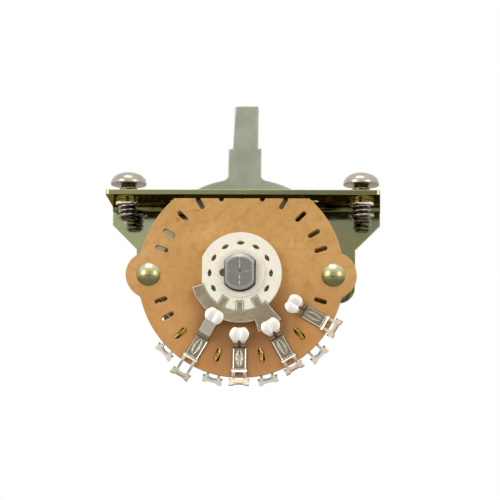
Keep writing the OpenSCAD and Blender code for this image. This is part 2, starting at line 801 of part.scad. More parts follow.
module rotor_front() {
    disc_t = rotor_rise - rotor_gap;
    disc_back_y = wafer_front_y - rotor_gap;
    key_r = 0.7;
    color(cream) difference() {
        union() {
            facing(disc_back_y, disc_t) rotor_disc_outline(rotor_r);
            facing(rotor_front_y, hub_ring_h) difference() {
                circle(r = hub_ring_r);
                shaft_section(hub_gap);
            }
            facing(wafer_back_y + rotor_gap, wafer_t + 2 * rotor_gap) difference() {
                circle(r = barrel_r);
                shaft_section(push_gap);
            }
        }
        facing(rotor_front_y + blade_t + push_gap, 2 * blade_t)
            blade_recess(front_far_deg, front_tab_deg + blade_tab_deg / 2, front_foot_degs);
        facing(rotor_front_y + rotor_hole_d, rotor_hole_d + past) rotor_holes(front_foot_degs);
        facing(rotor_front_y + 0.8 * disc_t, disc_t + hub_ring_h)
            translate([-flats_w / 2 - 0.5 * key_r, 0]) circle(r = key_r);
    }
}

module rotor_rear() {
    disc_t = rotor_rise - rotor_gap;
    color(cream) difference() {
        facing(rotor_back_y, disc_t) rotor_disc_outline(rotor_r);
        facing(rotor_back_y + blade_t, 2 * blade_t + push_gap)
            blade_recess(rear_tab_deg - blade_tab_deg / 2, rear_far_deg, rear_foot_degs);
        facing(rotor_back_y + 0.2 * disc_t, disc_t) rotor_holes(rear_foot_degs);
    }
}

// Blades: an arc that the common clip always touches, and one wiping tab

module blade_outline(far_deg, tab_deg, feet) {
    arc_band(blade_in_r, blade_out_r, min(far_deg, tab_deg), max(far_deg, tab_deg));
    arc_band(
        blade_in_r, blade_tab_r,
        tab_deg - blade_tab_deg / 2, tab_deg + blade_tab_deg / 2);
    for (a = feet) rotate(a) translate([-blade_foot_w / 2, -blade_in_r - 0.2])
        square([blade_foot_w, blade_in_r + 0.2 - blade_foot_r]);
}

module front_blade() {
    color(nickel) facing(rotor_front_y + blade_t, blade_t)
        blade_outline(front_far_deg, front_tab_deg, front_foot_degs);
}

module rear_blade() {
    color(nickel) facing(rotor_back_y, blade_t)
        blade_outline(rear_far_deg, rear_tab_deg, rear_foot_degs);
}

// Roller yoke: a folded cradle on the index spring that holds the roller's pin
module yoke_cheek_outline() {
    cheek_r = roller_pin_r + 0.8;
    difference() {
        union() {
            translate([0, -roller_drop]) circle(r = cheek_r);
            translate([-cheek_r, -yoke_floor_drop]) square([2 * cheek_r, yoke_floor_drop - roller_drop]);
        }
        translate([0, -roller_drop]) circle(r = roller_pin_r + push_gap);
    }
}

module roller_yoke() {
    inside = roller_l / 2 + slide_gap;
    color(nickel) {
        for (back = [inside + yoke_t, -inside]) facing(back, yoke_t) yoke_cheek_outline();
        facing(inside + yoke_t, 2 * inside + 2 * yoke_t)
            translate([-yoke_l / 2, -yoke_floor_drop - yoke_t]) square([yoke_l, yoke_t]);
    }
}

module roller_pin() {
    half = roller_l / 2 + slide_gap + yoke_t + push_gap;
    head_l = 0.3;
    color(nickel) turned(0, roller_drop) {
        translate([0, -half]) square([roller_pin_r, 2 * half]);
        translate([0, -half - head_l]) square([roller_pin_r + 0.3, head_l]);
        translate([0, half]) square([roller_pin_r + 0.3, head_l]);
    }
}

module detent_roller() {
    half = roller_l / 2;
    edge = 0.2;
    color(brass_tone) turned(0, roller_drop) polygon([
        [roller_pin_r + run_gap, -half], [roller_r - edge, -half], [roller_r, -half + edge],
        [roller_r, half - edge], [roller_r - edge, half], [roller_pin_r + run_gap, half]]);
}

bracket();
bearing_bushing();
spacer(-1);  // spacer_left
spacer(1);  // spacer_right
rivet(-1);  // rivet_left
rivet(1);  // rivet_right
wafer();
front_clip(0);  // front_clip_common
front_clip(1);  // front_clip_1
front_clip(2);  // front_clip_2
front_clip(3);  // front_clip_3
rear_clip(0);  // rear_clip_common
rear_clip(1);  // rear_clip_1
rear_clip(2);  // rear_clip_2
rear_clip(3);  // rear_clip_3
mounting_screw(-1);  // mounting_screw_left
mounting_screw(1);  // mounting_screw_right
index_spring();
lever();
shaft();
thrust_washer();
retaining_ring();
rotor_front();
rotor_rear();
front_blade();
rear_blade();
roller_yoke();
roller_pin();
detent_roller();
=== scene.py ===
"""Guitar pickup selector switch: its finishes, its folded clips and threaded screws, and a plain studio."""

import math

import bmesh
import bpy
from bpy.props import FloatProperty, FloatVectorProperty, IntProperty, PointerProperty
from bpy.types import Operator, Panel, PropertyGroup
from mathutils import Matrix, Vector


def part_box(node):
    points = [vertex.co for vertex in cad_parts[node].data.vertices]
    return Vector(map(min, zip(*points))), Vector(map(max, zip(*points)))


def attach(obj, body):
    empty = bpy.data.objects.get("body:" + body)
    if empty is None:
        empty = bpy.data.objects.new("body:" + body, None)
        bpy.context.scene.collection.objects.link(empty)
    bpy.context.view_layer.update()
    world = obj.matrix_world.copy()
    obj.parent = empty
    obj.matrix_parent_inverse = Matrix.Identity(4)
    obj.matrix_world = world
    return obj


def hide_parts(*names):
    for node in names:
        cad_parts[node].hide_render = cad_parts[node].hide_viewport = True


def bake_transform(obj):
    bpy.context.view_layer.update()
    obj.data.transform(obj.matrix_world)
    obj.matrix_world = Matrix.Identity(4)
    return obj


bl_info = {
    "name": "Pickup Selector Switch",
    "version": (1, 0, 0),
    "blender": (4, 5, 0),
    "location": "View3D > Sidebar > Switch",
    "description": "Dresses the packed model of a three-position lever switch",
    "category": "Object",
}

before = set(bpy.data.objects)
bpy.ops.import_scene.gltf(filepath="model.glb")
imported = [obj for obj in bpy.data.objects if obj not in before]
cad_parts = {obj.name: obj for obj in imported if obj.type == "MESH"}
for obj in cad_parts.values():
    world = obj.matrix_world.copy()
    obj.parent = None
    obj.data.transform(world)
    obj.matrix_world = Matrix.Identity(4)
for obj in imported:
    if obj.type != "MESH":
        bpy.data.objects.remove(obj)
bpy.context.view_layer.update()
MM = 0.001
WAFER_LOW, WAFER_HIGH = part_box("wafer")
SHAFT_LOW, SHAFT_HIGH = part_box("shaft")
AXIS_Z = (SHAFT_LOW[2] + SHAFT_HIGH[2]) / 2
WAFER_R = AXIS_Z - WAFER_LOW[2]

FRONT_CLIPS = {"front_clip_common": -30, "front_clip_1": 0, "front_clip_2": 30, "front_clip_3": 60}
REAR_CLIPS = {"rear_clip_common": 45, "rear_clip_1": -45, "rear_clip_2": -15, "rear_clip_3": 15}


def length(name, text, default_mm, least_mm=0.0, most_mm=100.0):
    """A size that a user can change, held in metres and shown in the scene's unit."""
    return FloatProperty(
        name=name, description=text, default=default_mm * MM,
        min=least_mm * MM, max=most_mm * MM, precision=5, unit="LENGTH")


def colour(name, text, default):
    """A colour that a user can change."""
    return FloatVectorProperty(
        name=name, description=text, default=default, min=0.0, max=1.0, size=3, subtype="COLOR")


class ScrewSizes(PropertyGroup):
    thread_pitch: length("Thread pitch", "Distance between two turns of the thread", 0.794, 0.3, 2)
    thread_crest: length("Thread crest", "Radius of the thread's crests", 1.72, 1, 1.74)
    thread_root: length("Thread root", "Radius of the thread's roots", 1.3, 0.8, 1.6)
    head_height: length("Head height", "Height of the round head", 2.5, 1.8, 3)
    crown_drop: length("Crown drop", "How much lower the crown is than the packed head", 0.2, 0, 1)
    head_rim: length("Head rim", "Rounding of the head's lower rim", 0.18, 0.05, 0.6)
    recess_width: length("Recess width", "Width of each arm of the cross recess", 0.75, 0.3, 1.2)
    recess_reach: length("Recess reach", "Reach of each arm of the cross recess", 1.55, 0.8, 2.2)
    recess_depth: length("Recess depth", "Depth of the cross recess in the middle", 1.3, 0.4, 1.6)
    rows_per_turn: IntProperty(
        name="Rows per turn", description="Rows of faces along one turn of the thread",
        default=9, min=6, max=16)


class ClipSizes(PropertyGroup):
    sheet: length("Sheet", "Thickness of the clips' spring metal", 0.3, 0.15, 0.4)
    head_length: length("Head length", "Length of the two-lobed head", 2.1, 1.8, 2.6)
    head_width: length("Head width", "Width of the two-lobed head", 3.3, 2.6, 3.6)
    head_dome: length("Head dome", "Height of each lobe above the head's middle", 0.12, 0, 0.6)
    head_height: length("Head height", "Height of the head's sheet above the wafer", 1.8, 1, 2.4)
    jaw_height: length("Jaw height", "Height of the lower jaw's sheet above the wafer", 1.1, 0.5, 2)
    short_head_r: length("Short head", "Radius at a short clip's head", 10.6, 9, 11)
    long_head_r: length("Long head", "Radius at a common clip's head", 8.6, 8, 9)
    neck_width: length("Neck width", "Width of the neck", 2.15, 1.6, 2.6)
    body_width: length("Body width", "Width of the body on the wafer", 2.4, 2.2, 3)
    body_start: length("Body start", "Radius where the body starts", 12.7, 12, 13.4)
    body_end: length("Body end", "Radius where the body folds up to its legs", 16.55, 16, 17.4)
    window_start: length("Window start", "Radius where the gap between the legs starts", 17.1, 16.6, 17.8)
    lip_height: length("Lip height", "Height of the body's turned-up edges", 0.12, 0, 0.3)
    crease_width: length("Crease width", "Width of the pointed crease in the body", 1.15, 0.6, 1.6)
    crease_height: length("Crease height", "Height of the pointed crease's rim", 0.1, 0, 0.3)
    leg_width: length("Leg width", "Width of the two legs over the wafer's edge", 0.45, 0.3, 0.8)
    leg_rise: length("Leg rise", "Step from the body up to the legs", 0.45, 0.2, 0.7)
    front_reach: length("Front reach", "Reach of the front lugs beyond the wafer", 1.6, 1.2, 3.4)
    front_common_reach: length("Front common", "Reach of the front common clip's lug", 2.9, 1.2, 3.4)
    rear_reach: length("Rear reach", "Reach of the rear lugs beyond the wafer", 1.5, 1.2, 3.4)
    rear_common_reach: length("Rear common", "Reach of the rear common clip's lug", 2.05, 1.2, 3.4)
    lug_width: length("Lug width", "Width of the solder lug across its ears", 3.5, 3, 4)
    lug_length: length("Lug length", "Length of the solder lug, seen from in front", 1.15, 1, 1.8)
    lug_ear: length("Lug ear", "Width of each ear of the solder lug", 0.75, 0.4, 1)
    lug_recess: length("Lug recess", "Depth of the recess between the ears", 0.2, 0.05, 0.3)
    lug_arch: length("Lug arch", "Rise of the arch between the legs into the lug", 0.3, 0.05, 0.4)
    lug_bend: FloatProperty(
        name="Lug bend", description="Angle that a solder lug is bent away from the wafer",
        default=math.radians(28), min=0, max=0.7, subtype="ANGLE")
    tab_height: length("Tab height", "Height of a clinched tab on the far face", 0.5, 0.2, 0.8)


class SwitchColours(PropertyGroup):
    zinc_green: colour("Zinc green", "Green cast of the yellow-passivated zinc", (0.50, 0.55, 0.36))
    zinc_gold: colour("Zinc gold", "Golden cast of the yellow-passivated zinc", (0.62, 0.58, 0.22))
    zinc_rose: colour("Zinc rose", "Faint rose cast of the yellow-passivated zinc", (0.58, 0.47, 0.34))
    rivet_zinc: colour("Rivet zinc", "Brassy passivated zinc on the rivets", (0.40, 0.36, 0.17))
    lever_zinc: colour("Lever zinc", "Dull clear zinc on the lever", (0.323, 0.332, 0.243))
    board: colour("Board", "Tan of the wafer's paper board", (0.60, 0.32, 0.10))
    board_pale: colour("Pale board", "Lighter patches of the board", (0.68, 0.39, 0.145))
    board_dark: colour("Dark board", "Browner patches of the board", (0.45, 0.20, 0.045))
    # Painted shade: this tone darkens and warms the board's lower half.
    board_low_shade: colour("Warm board", "Warmer tone of the board's lower half", (0.56, 0.24, 0.065))
    silver: colour("Silver", "Silver plating on the contact clips", (0.92, 0.86, 0.72))
    tab_brass: colour("Tab brass", "Bare metal of the clinched tabs", (0.60, 0.43, 0.10))
    nickel: colour("Nickel", "Nickel plating", (0.66, 0.64, 0.58))
    screw_nickel: colour("Screw nickel", "Warm nickel on the mounting screws", (0.49, 0.435, 0.37))
    dark_steel: colour("Dark steel", "Bare steel of the shaft", (0.25, 0.24, 0.21))
    spring_steel: colour("Spring steel", "Hardened steel of the index spring", (0.33, 0.34, 0.36))
    brass: colour("Brass", "Turned brass of the bushing and the roller", (0.72, 0.52, 0.22))
    nylon: colour("Nylon", "Cream nylon of the rotor", (0.98, 0.905, 0.77))


class StudioSettings(PropertyGroup):
    floor_z: length("Floor height", "Height of the floor", -130, -1000, 0)
    floor_colour: colour("Floor", "Colour of the floor", (0.86, 0.86, 0.85))
    sky: FloatProperty(
        name="Sky", description="Strength of the even light from all round", default=0.5, min=0, max=2)
    key: FloatProperty(
        name="Left lamp", description="Power of the lamp on the left in watts",
        default=1.1, min=0, max=20)
    fill: FloatProperty(
        name="Right lamp", description="Power of the lamp on the right in watts",
        default=0.7, min=0, max=20)
    top: FloatProperty(
        name="Top lamp", description="Power of the lamp overhead in watts", default=1.0, min=0, max=20)
    flag_left: FloatProperty(
        name="Flag, left", description="Grey that polished metal mirrors on its left", default=0.62)
    flag_right: FloatProperty(
        name="Flag, right", description="Grey that polished metal mirrors on its right", default=0.32)
    flag_low: FloatProperty(
        name="Flag, low", description="Grey that polished metal mirrors low in front", default=0.03)


# Finishes

class Wire:
    """A socket in a finish's node tree; arithmetic on it adds Math nodes."""

    def __init__(self, finish, socket):
        self.finish = finish
        self.socket = socket

    def combine(self, operation, first, second):
        return self.finish.node("ShaderNodeMath", {"operation": operation}, {0: first, 1: second})

    def __add__(self, other):
        return self.combine("ADD", self, other)

    def __sub__(self, other):
        return self.combine("SUBTRACT", self, other)

    def __rsub__(self, other):
        return self.combine("SUBTRACT", other, self)

    def __mul__(self, other):
        return self.combine("MULTIPLY", self, other)

    def __abs__(self):
        return self.combine("ABSOLUTE", self, 0.0)

    def __and__(self, other):
        return self.combine("MINIMUM", self, other)

    def __or__(self, other):
        return self.combine("MAXIMUM", self, other)

    __radd__ = __add__
    __rmul__ = __mul__


class Finish:
    """A procedural material, built up node by node."""

    def __init__(self, name, fixed):
        self.material = bpy.data.materials.new(name)
        self.material.use_nodes = True
        self.tree = self.material.node_tree
        self.shader = self.tree.nodes["Principled BSDF"]
        for socket, value in fixed.items():
            self.shader.inputs[socket].default_value = value
        self.place = self.node("ShaderNodeTexCoord", out="Object")

    def node(self, kind, settings=None, values=None, out=0):
        """Adds a node: its settings first, then its sockets, and hands back one output."""
        made = self.tree.nodes.new(kind)
        for key, value in (settings or {}).items():
            setattr(made, key, value)
        for key, value in (values or {}).items():
            if isinstance(value, Wire):
                self.tree.links.new(value.socket, made.inputs[key])
            else:
                made.inputs[key].default_value = value
        return Wire(self, made.outputs[out])

    def feed(self, socket, wire):
        self.tree.links.new(wire.socket, self.shader.inputs[socket])

    def noise(self, size_mm, detail=2.0, stretch=(1, 1, 1), distortion=0.0):
        """Cloudy noise whose patches are about size_mm across."""
        scaled = self.node(
            "ShaderNodeVectorMath", {"operation": "MULTIPLY"},
            {0: self.place, 1: tuple(s / (size_mm * MM) for s in stretch)})
        return self.node("ShaderNodeTexNoise", {}, {
            "Vector": scaled, "Scale": 1.0, "Detail": detail, "Distortion": distortion})

    def smooth(self, value, low, high):
        """0 below low, 1 above high and a soft step between."""
        return self.node("ShaderNodeMapRange", {"interpolation_type": "SMOOTHSTEP"}, {
            "Value": value, "From Min": low, "From Max": high})

    def mix(self, share, first, second, how="MIX"):
        """Blends two colours; share is how much of the second shows."""
        def rgba(c):
            return c if isinstance(c, Wire) else (*c, 1.0)
        return self.node("ShaderNodeMix", {"data_type": "RGBA", "blend_type": how}, {
            0: share, 6: rgba(first), 7: rgba(second)}, out=2)

    def axes(self, vector=None):
        """The three parts of a vector, in metres when it is the place on the object."""
        split = self.node("ShaderNodeSeparateXYZ", {}, {0: vector or self.place}).socket.node
        return [Wire(self, out) for out in split.outputs]

    def reach(self, x, z):
        """Distance from a line along Y through x, z, in metres."""
        aside = self.node(
            "ShaderNodeVectorMath", {"operation": "MULTIPLY_ADD"},
            {0: self.place, 1: (1, 0, 1), 2: (-x, 0, -z)})
        return self.node("ShaderNodeVectorMath", {"operation": "LENGTH"}, {0: aside}, out="Value")

    def rounded(self, radius_mm):
        """Normals as if the edges were rounded off."""
        return self.node("ShaderNodeBevel", {"samples": 6}, {"Radius": radius_mm * MM})

    def edges(self, radius_mm, low=0.03, high=0.25):
        """1 along sharp edges, where the finish is worn or sheared, and where a finish paints an edge
        highlight.
        """
        plain = self.node("ShaderNodeNewGeometry", out="Normal")
        along = self.node("ShaderNodeVectorMath", {"operation": "DOT_PRODUCT"}, {
            0: self.rounded(radius_mm), 1: plain}, out="Value")
        return self.smooth(1.0 - along, low, high)

    def relief(self, height, depth_mm, round_mm=0.0):
        """Feeds the shader's normal: a bump of depth_mm on edges rounded by round_mm."""
        values = {"Height": height, "Distance": depth_mm * MM, "Strength": 1.0}
        if round_mm:
            values["Normal"] = self.rounded(round_mm)
        self.feed("Normal", self.node("ShaderNodeBump", {}, values))


def yellow_zinc(name, tones, rough, round_mm):
    """Zinc plating with a yellow passivation: green, gold and rose casts that drift, edges lighter from wear
    and a painted highlight, painted shade under the plate, in its bend and on its front edge, and painted
    highlights on the screw collars.
    """
    f = Finish(name, {"Metallic": 1.0, "Specular Tint": (0.62, 0.52, 0.24, 1.0)})
    drift = f.noise(9, 2.0, distortion=0.6)
    cast = f.mix(f.smooth(drift, 0.36, 0.7) * 0.75, tones.zinc_green, tones.zinc_gold)
    rose = f.noise(5, 1.0, distortion=1.0)
    cast = f.mix(f.smooth(rose, 0.5, 0.75) * 0.4, cast, tones.zinc_rose)
    grain = f.noise(0.22, 3.0)
    cast = f.mix(f.smooth(grain, 0.35, 0.75) * 0.16, cast, (0.30, 0.33, 0.22))
    # Lighter edges: partly wear on the plating, partly a painted highlight.
    cast = f.mix(f.edges(0.2) * 0.35, cast, (0.62, 0.62, 0.38))
    x, y, z = f.axes()
    # Painted shade: the plate's underside is darkened to a dark warm brown.
    under = f.smooth(z, -0.00098, -0.0009) & (1.0 - f.smooth(z, -0.00084, -0.0008))
    cast = f.mix(under * 0.9, cast, (0.085, 0.05, 0.01))
    # Painted shade inside the bend, below the plate and in front of the flange.
    fold = f.smooth(y, 0.0042, 0.0046) & (1.0 - f.smooth(y, 0.00555, 0.0057))
    fold = fold & f.smooth(z, -0.002, -0.0017) & (1.0 - f.smooth(z, -0.00084, -0.0008))
    cast = f.mix(fold * 0.8, cast, (0.11, 0.10, 0.025))
    # Painted highlight: the collars under the plate, around the screws, are painted nearly white.
    collar_highlight = (1.0 - f.smooth(abs(abs(x) - 0.02064), 0.0029, 0.0031)) & (1.0 - f.smooth(abs(y), 0.0029, 0.0031))
    collar_highlight = collar_highlight & (1.0 - f.smooth(z, -0.00098, -0.0009))
    cast = f.mix(collar_highlight, cast, (1.0, 1.0, 0.95))
    # Painted shade on the plate's front edge.
    front = 1.0 - f.smooth(y, -0.00632, -0.0062)
    cast = f.mix(front * 0.75, cast, (0.36, 0.37, 0.17))
    f.feed("Base Color", cast)
    f.feed("Roughness", rough + 0.1 * f.noise(1.6, 3.0))
    f.relief(grain * 0.3 + f.noise(1.3, 2.0), 0.006, round_mm)
    return f.material


def rivet_zinc(tones):
    """Passivated zinc on the set rivet heads, with a painted highlight on their upper half and painted shade
    on their lower half.
    """
    f = Finish("rivet_zinc", {"Metallic": 1.0})
    x, y, z = f.axes()
    grain = f.noise(0.4, 3.0)
    # Painted shade on each head's lower half (low) and a painted highlight on its upper half (high), with
    # ragged borders.
    low = 1.0 - f.smooth(z + (grain - 0.5) * 0.0005, AXIS_Z - 0.0012, AXIS_Z - 0.0001)
    high = f.smooth(z + (grain - 0.5) * 0.0005, AXIS_Z + 0.0002, AXIS_Z + 0.0012)
    cast = f.mix(low * 0.8, tones.rivet_zinc, (0.13, 0.125, 0.05))
    cast = f.mix(high * 0.6, cast, (0.72, 0.73, 0.48))
    f.feed("Base Color", cast)
    f.feed("Roughness", 0.2 + 0.12 * grain)
    f.relief(grain, 0.01)
    return f.material


def lever_zinc(tones):
    """Dull zinc on the stamped lever, tumbled and faintly pitted, with edges lighter from wear and a painted
    highlight, and a painted highlight along its tip's left edge.
    """
    f = Finish("lever_zinc", {"Metallic": 0.88})
    grain = f.noise(0.3, 4.0)
    cloud = f.noise(5, 2.0)
    cast = f.mix(f.smooth(cloud, 0.35, 0.7), tones.lever_zinc, (0.394, 0.419, 0.324))
    cast = f.mix(f.smooth(grain, 0.5, 0.75) * 0.3, cast, (0.27, 0.28, 0.21))
    # Lighter edges: partly wear on the zinc, partly a painted highlight.
    cast = f.mix(f.edges(0.28) * 0.75, cast, (0.82, 0.82, 0.74))
    x, y, z = f.axes()
    # Painted highlight: a near-white strip along the left edge of the lever's tip.
    tip_edge_highlight = (1.0 - f.smooth(x - (z - 0.0086) * 0.06, -0.0023, -0.00195)) & f.smooth(z, 0.0082, 0.0088)
    cast = f.mix(tip_edge_highlight * 0.8, cast, (0.95, 0.95, 0.91))
    f.feed("Base Color", cast)
    f.feed("Roughness", 0.36 + 0.14 * grain)
    f.relief(grain * 0.5 + 0.5 * cloud, 0.015, 0.42)
    return f.material


def paper_board(tones):
    """Punched paper-phenolic board: mottled tan, with a painted highlight along its edges, painted light on
    its slots' walls, and painted shade on its lower half and, with dirt, below the rotor.
    """
    f = Finish("phenolic_board", {"Specular IOR Level": 0.22})
    patch = f.noise(7, 3.0, distortion=0.4)
    fibre = f.noise(0.55, 4.0, (0.8, 1, 1), 0.6)
    speck = f.noise(0.25, 2.0)
    tan = f.mix(f.smooth(patch, 0.35, 0.68), tones.board, tones.board_pale)
    tan = f.mix(f.smooth(fibre, 0.45, 0.75) * 0.2, tan, tones.board_dark)
    tan = f.mix(f.smooth(speck, 0.55, 0.75) * 0.32, tan, tones.board_pale)
    blotch = f.noise(1.5, 4.0, distortion=0.3)
    tan = f.mix(f.smooth(blotch, 0.42, 0.75) * 0.45, tan, tones.board_dark)
    x, y, z = f.axes()
    # Painted shade on the board's lower half.
    low = 1.0 - f.smooth(z, AXIS_Z - 0.017, AXIS_Z + 0.006)
    tan = f.mix(low * 0.6, tan, tones.board_low_shade)
    # Dirt and a painted shadow: the board is darker and browner below the rotor, around the bottom of the hub.
    dirt_and_rotor_shadow = 1.0 - f.smooth(f.reach(0.001, AXIS_Z - 0.009), 0.004, 0.0125)
    tan = f.mix(dirt_and_rotor_shadow * 0.85, tan, (0.37, 0.165, 0.065))
    # Painted highlight: a lighter tan along the board's edges.
    rim = f.edges(0.3, 0.02, 0.3)
    tan = f.mix(rim * 0.5, tan, (0.80, 0.56, 0.29))
    # Painted light: the slots' walls, which lie in shadow, are painted a lighter orange-brown.
    inside = f.smooth(y, WAFER_LOW[1] + 0.00006, WAFER_LOW[1] + 0.0002)
    inside = inside & (1.0 - f.smooth(y, WAFER_HIGH[1] - 0.0001, WAFER_HIGH[1] - 0.00002))
    inside = inside & (1.0 - f.smooth(f.reach(0, AXIS_Z), 0.0172, 0.0174))
    tan = f.mix(inside * 0.85, tan, (0.85, 0.40, 0.09))
    dimple = 1.0 - f.smooth(f.reach(-0.0111, AXIS_Z + 0.0096), 0.0001, 0.0006)
    tan = f.mix(dimple * 0.75, tan, (0.42, 0.17, 0.02))
    nick = 1.0 - f.smooth(f.reach(-0.0076, AXIS_Z + 0.0112), 0.00008, 0.0002)
    tan = f.mix(nick * 0.85, tan, (0.12, 0.04, 0.01))
    f.feed("Base Color", tan)
    f.feed("Roughness", 0.52 + 0.2 * fibre)
    f.relief(fibre + 0.4 * speck - 2.0 * dimple - 2.0 * nick, 0.02, 0.12)
    return f.material


def plated(name, base, worn, rough, grain_mm, round_mm, streak=(1, 1, 1), rim=None, rubbed=0.12):
    """A bright metal finish with fine grain, rubbed wear and drifting roughness; a given rim colour is a
    painted highlight along its edges.
    """
    f = Finish(name, {"Metallic": 1.0})
    grain = f.noise(grain_mm, 3.0, streak)
    cloud = f.noise(12 * grain_mm, 2.0)
    cast = f.mix(f.smooth(cloud, 0.38, 0.66) * 0.5, base, worn)
    cast = f.mix(f.smooth(grain, 0.42, 0.7) * rubbed, cast, worn)
    # Painted highlight along the edges, when a rim colour is given.
    if rim:
        cast = f.mix(f.edges(0.4, 0.01, 0.1) * 0.85, cast, rim)
    f.feed("Base Color", cast)
    f.feed("Roughness", rough + 0.12 * grain)
    f.relief(grain + cloud, 0.0012, round_mm)
    return f.material


def silver_clip(tones, name, lug_painted_tone, shade_line_at):
    """Silver-plated spring metal with painted light: shade on its body, slit, neck and step, a white highlight
    on its head, a warm reflection on its lobes' rims, and lugs painted lighter at the rear and darker at the
    front, with shade lines.
    """
    f = Finish(name, {"Metallic": 1.0})
    along, across, part = f.axes(f.node("ShaderNodeUVMap", {"uv_map": "fold"}, out="UV"))
    outward, from_head, part = f.axes(f.node("ShaderNodeUVMap", {"uv_map": "ends"}, out="UV"))
    grain = f.noise(0.12, 3.0)
    cloud = f.noise(0.9, 2.0)
    cast = f.mix(f.smooth(cloud, 0.4, 0.7) * 0.4, tones.silver, (0.70, 0.64, 0.50))
    bulge = abs(across) + abs(along) * abs(along) * 0.19
    slit_shade = (1.0 - f.smooth(bulge, 0.06, 0.26)) & (1.0 - f.smooth(abs(along), 0.9, 1.5))
    body = (1.0 - f.smooth(abs(across), 1.0, 1.1)) & (1.0 - f.smooth(abs(along), 1.75, 1.9))
    rim = f.smooth(bulge, 0.36, 0.44) & (1.0 - f.smooth(bulge, 0.5, 0.58))
    # Painted shade: the body is darkened, less on the crease's rim (a painted highlight), a mid grey on its
    # lips, darkest along the crease's slit.
    cast = f.mix((body - rim * 0.4) * 0.84, cast, (0.17, 0.14, 0.09))
    lips = f.smooth(abs(across), 0.97, 1.06) & (1.0 - f.smooth(abs(along), 1.75, 1.9))
    cast = f.mix(lips * 0.5, cast, (0.36, 0.31, 0.22))
    cast = f.mix(slit_shade * 0.6, cast, (0.16, 0.14, 0.05))
    # Painted shade: the neck is a mid grey, darker on its step.
    neck = f.smooth(from_head, 1.0, 1.3) & (1.0 - f.smooth(along, -1.75, -1.55))
    cast = f.mix(neck * 0.5, cast, (0.40, 0.35, 0.26))
    step = f.smooth(along, -2.65, -2.5) & (1.0 - f.smooth(along, -1.75, -1.6))
    cast = f.mix((neck & step) * 0.6, cast, (0.14, 0.11, 0.04))
    # Painted light and shade: the lug takes a tone that is darker on front clips and lighter on rear ones.
    lug = f.smooth(outward, -1.2, -1.1)
    cast = f.mix(lug * 0.85, cast, lug_painted_tone)
    # Painted shade: a dark line across the lug's arch and dark tips on its ears.
    between = 1.0 - f.smooth(abs(across), 0.85, 1.0)
    bow = outward + across * across * 0.2
    line = f.smooth(bow, shade_line_at - 0.1, shade_line_at - 0.04) & (1.0 - f.smooth(bow, shade_line_at + 0.04, shade_line_at + 0.1))
    ear_tip_shade = f.smooth(abs(across), 1.3, 1.45) & (1.0 - f.smooth(outward, -0.98, -0.85))
    cast = f.mix((((line & between) | ear_tip_shade) & lug) * 0.8, cast, (0.16, 0.11, 0.05))
    # Painted highlight: the head is painted nearly white, with a painted warm reflection along its lobes'
    # rims.
    head = 1.0 - f.smooth(from_head, 0.95, 1.25)
    cast = f.mix(head * 0.85, cast, (0.99, 0.96, 0.90))
    lobe_rim_reflection = f.smooth(abs(across), 1.15, 1.6) | (1.0 - f.smooth(from_head, -1.05, -0.7))
    f.feed("Base Color", f.mix((lobe_rim_reflection & head) * 0.6, cast, (0.85, 0.67, 0.40)))
    f.feed("Roughness", 0.18 + 0.1 * grain + head * 0.16 + body * 0.12 + lug * 0.14)
    f.relief(grain + cloud, 0.001, 0.06)
    return f.material


def screw_plating(tones, sizes):
    """Nickel on the screws, with painted shade in the thread's roots."""
    f = Finish("screw_nickel", {"Metallic": 1.0})
    reach, height, part = f.axes(f.node("ShaderNodeUVMap", {"uv_map": "thread"}, out="UV"))
    grain = f.noise(0.4, 2.0)
    cloud = f.noise(2.5, 2.0)
    cast = f.mix(f.smooth(cloud, 0.38, 0.66) * 0.5, tones.screw_nickel, (0.35, 0.31, 0.26))
    root, crest = sizes.thread_root / MM, sizes.thread_crest / MM
    # Painted shade in the thread's roots, below the head.
    thread_root_shade = 1.0 - f.smooth(reach, root + 0.05, root + 0.75 * (crest - root))
    thread_root_shade = thread_root_shade & (1.0 - f.smooth(height, -0.1, 0.1))
    cast = f.mix(thread_root_shade * 0.95, cast, (0.035, 0.022, 0.008))
    f.feed("Base Color", cast)
    f.feed("Roughness", 0.17 + 0.14 * grain)
    f.relief(grain + cloud, 0.002, 0.05)
    return f.material


def shaft_steel(tones):
    """Sawn and chamfered steel; two scribed lines cross at the punch mark on its front end; painted highlights
    on its chamfer and front edge, and painted shade down its side.
    """
    f = Finish("dark_steel", {"Metallic": 1.0})
    x, y, z = f.axes()
    grain = f.noise(0.25, 4.0)
    face = 1.0 - f.smooth(y, SHAFT_LOW[1] + 0.00004, SHAFT_LOW[1] + 0.0001)
    wander = (f.noise(1.4, 2.0) - 0.5) * 0.0003
    upright = 1.0 - f.smooth(abs(x + wander), 0.00003, 0.00011)
    level = 1.0 - f.smooth(abs(z - AXIS_Z + wander), 0.00002, 0.00008)
    broken = f.smooth(f.noise(0.5, 2.0), 0.38, 0.6)
    scribed = ((upright | level * 0.6) & face) * broken
    cast = f.mix(f.smooth(grain, 0.42, 0.7) * 0.5, tones.dark_steel, (0.17, 0.165, 0.145))
    cast = f.mix(scribed * 0.8, cast, (0.75, 0.73, 0.68))
    # Painted highlight on the chamfer's ring and on the front face's edge, and painted shade down the side
    # beyond the chamfer.
    depth = y - SHAFT_LOW[1]
    chamfer = f.smooth(depth, 0.00006, 0.00012) & (1.0 - f.smooth(depth, 0.0004, 0.0006))
    cast = f.mix(chamfer * 0.6, cast, (0.52, 0.51, 0.47))
    cast = f.mix(f.smooth(depth, 0.0005, 0.0007) * 0.75, cast, (0.05, 0.05, 0.045))
    cast = f.mix((f.edges(0.2) & face) * 0.5, cast, (0.70, 0.68, 0.62))
    f.feed("Base Color", cast)
    f.feed("Roughness", 0.34 + 0.2 * grain)
    f.relief(grain - 0.5 * scribed, 0.02, 0.1)
    return f.material


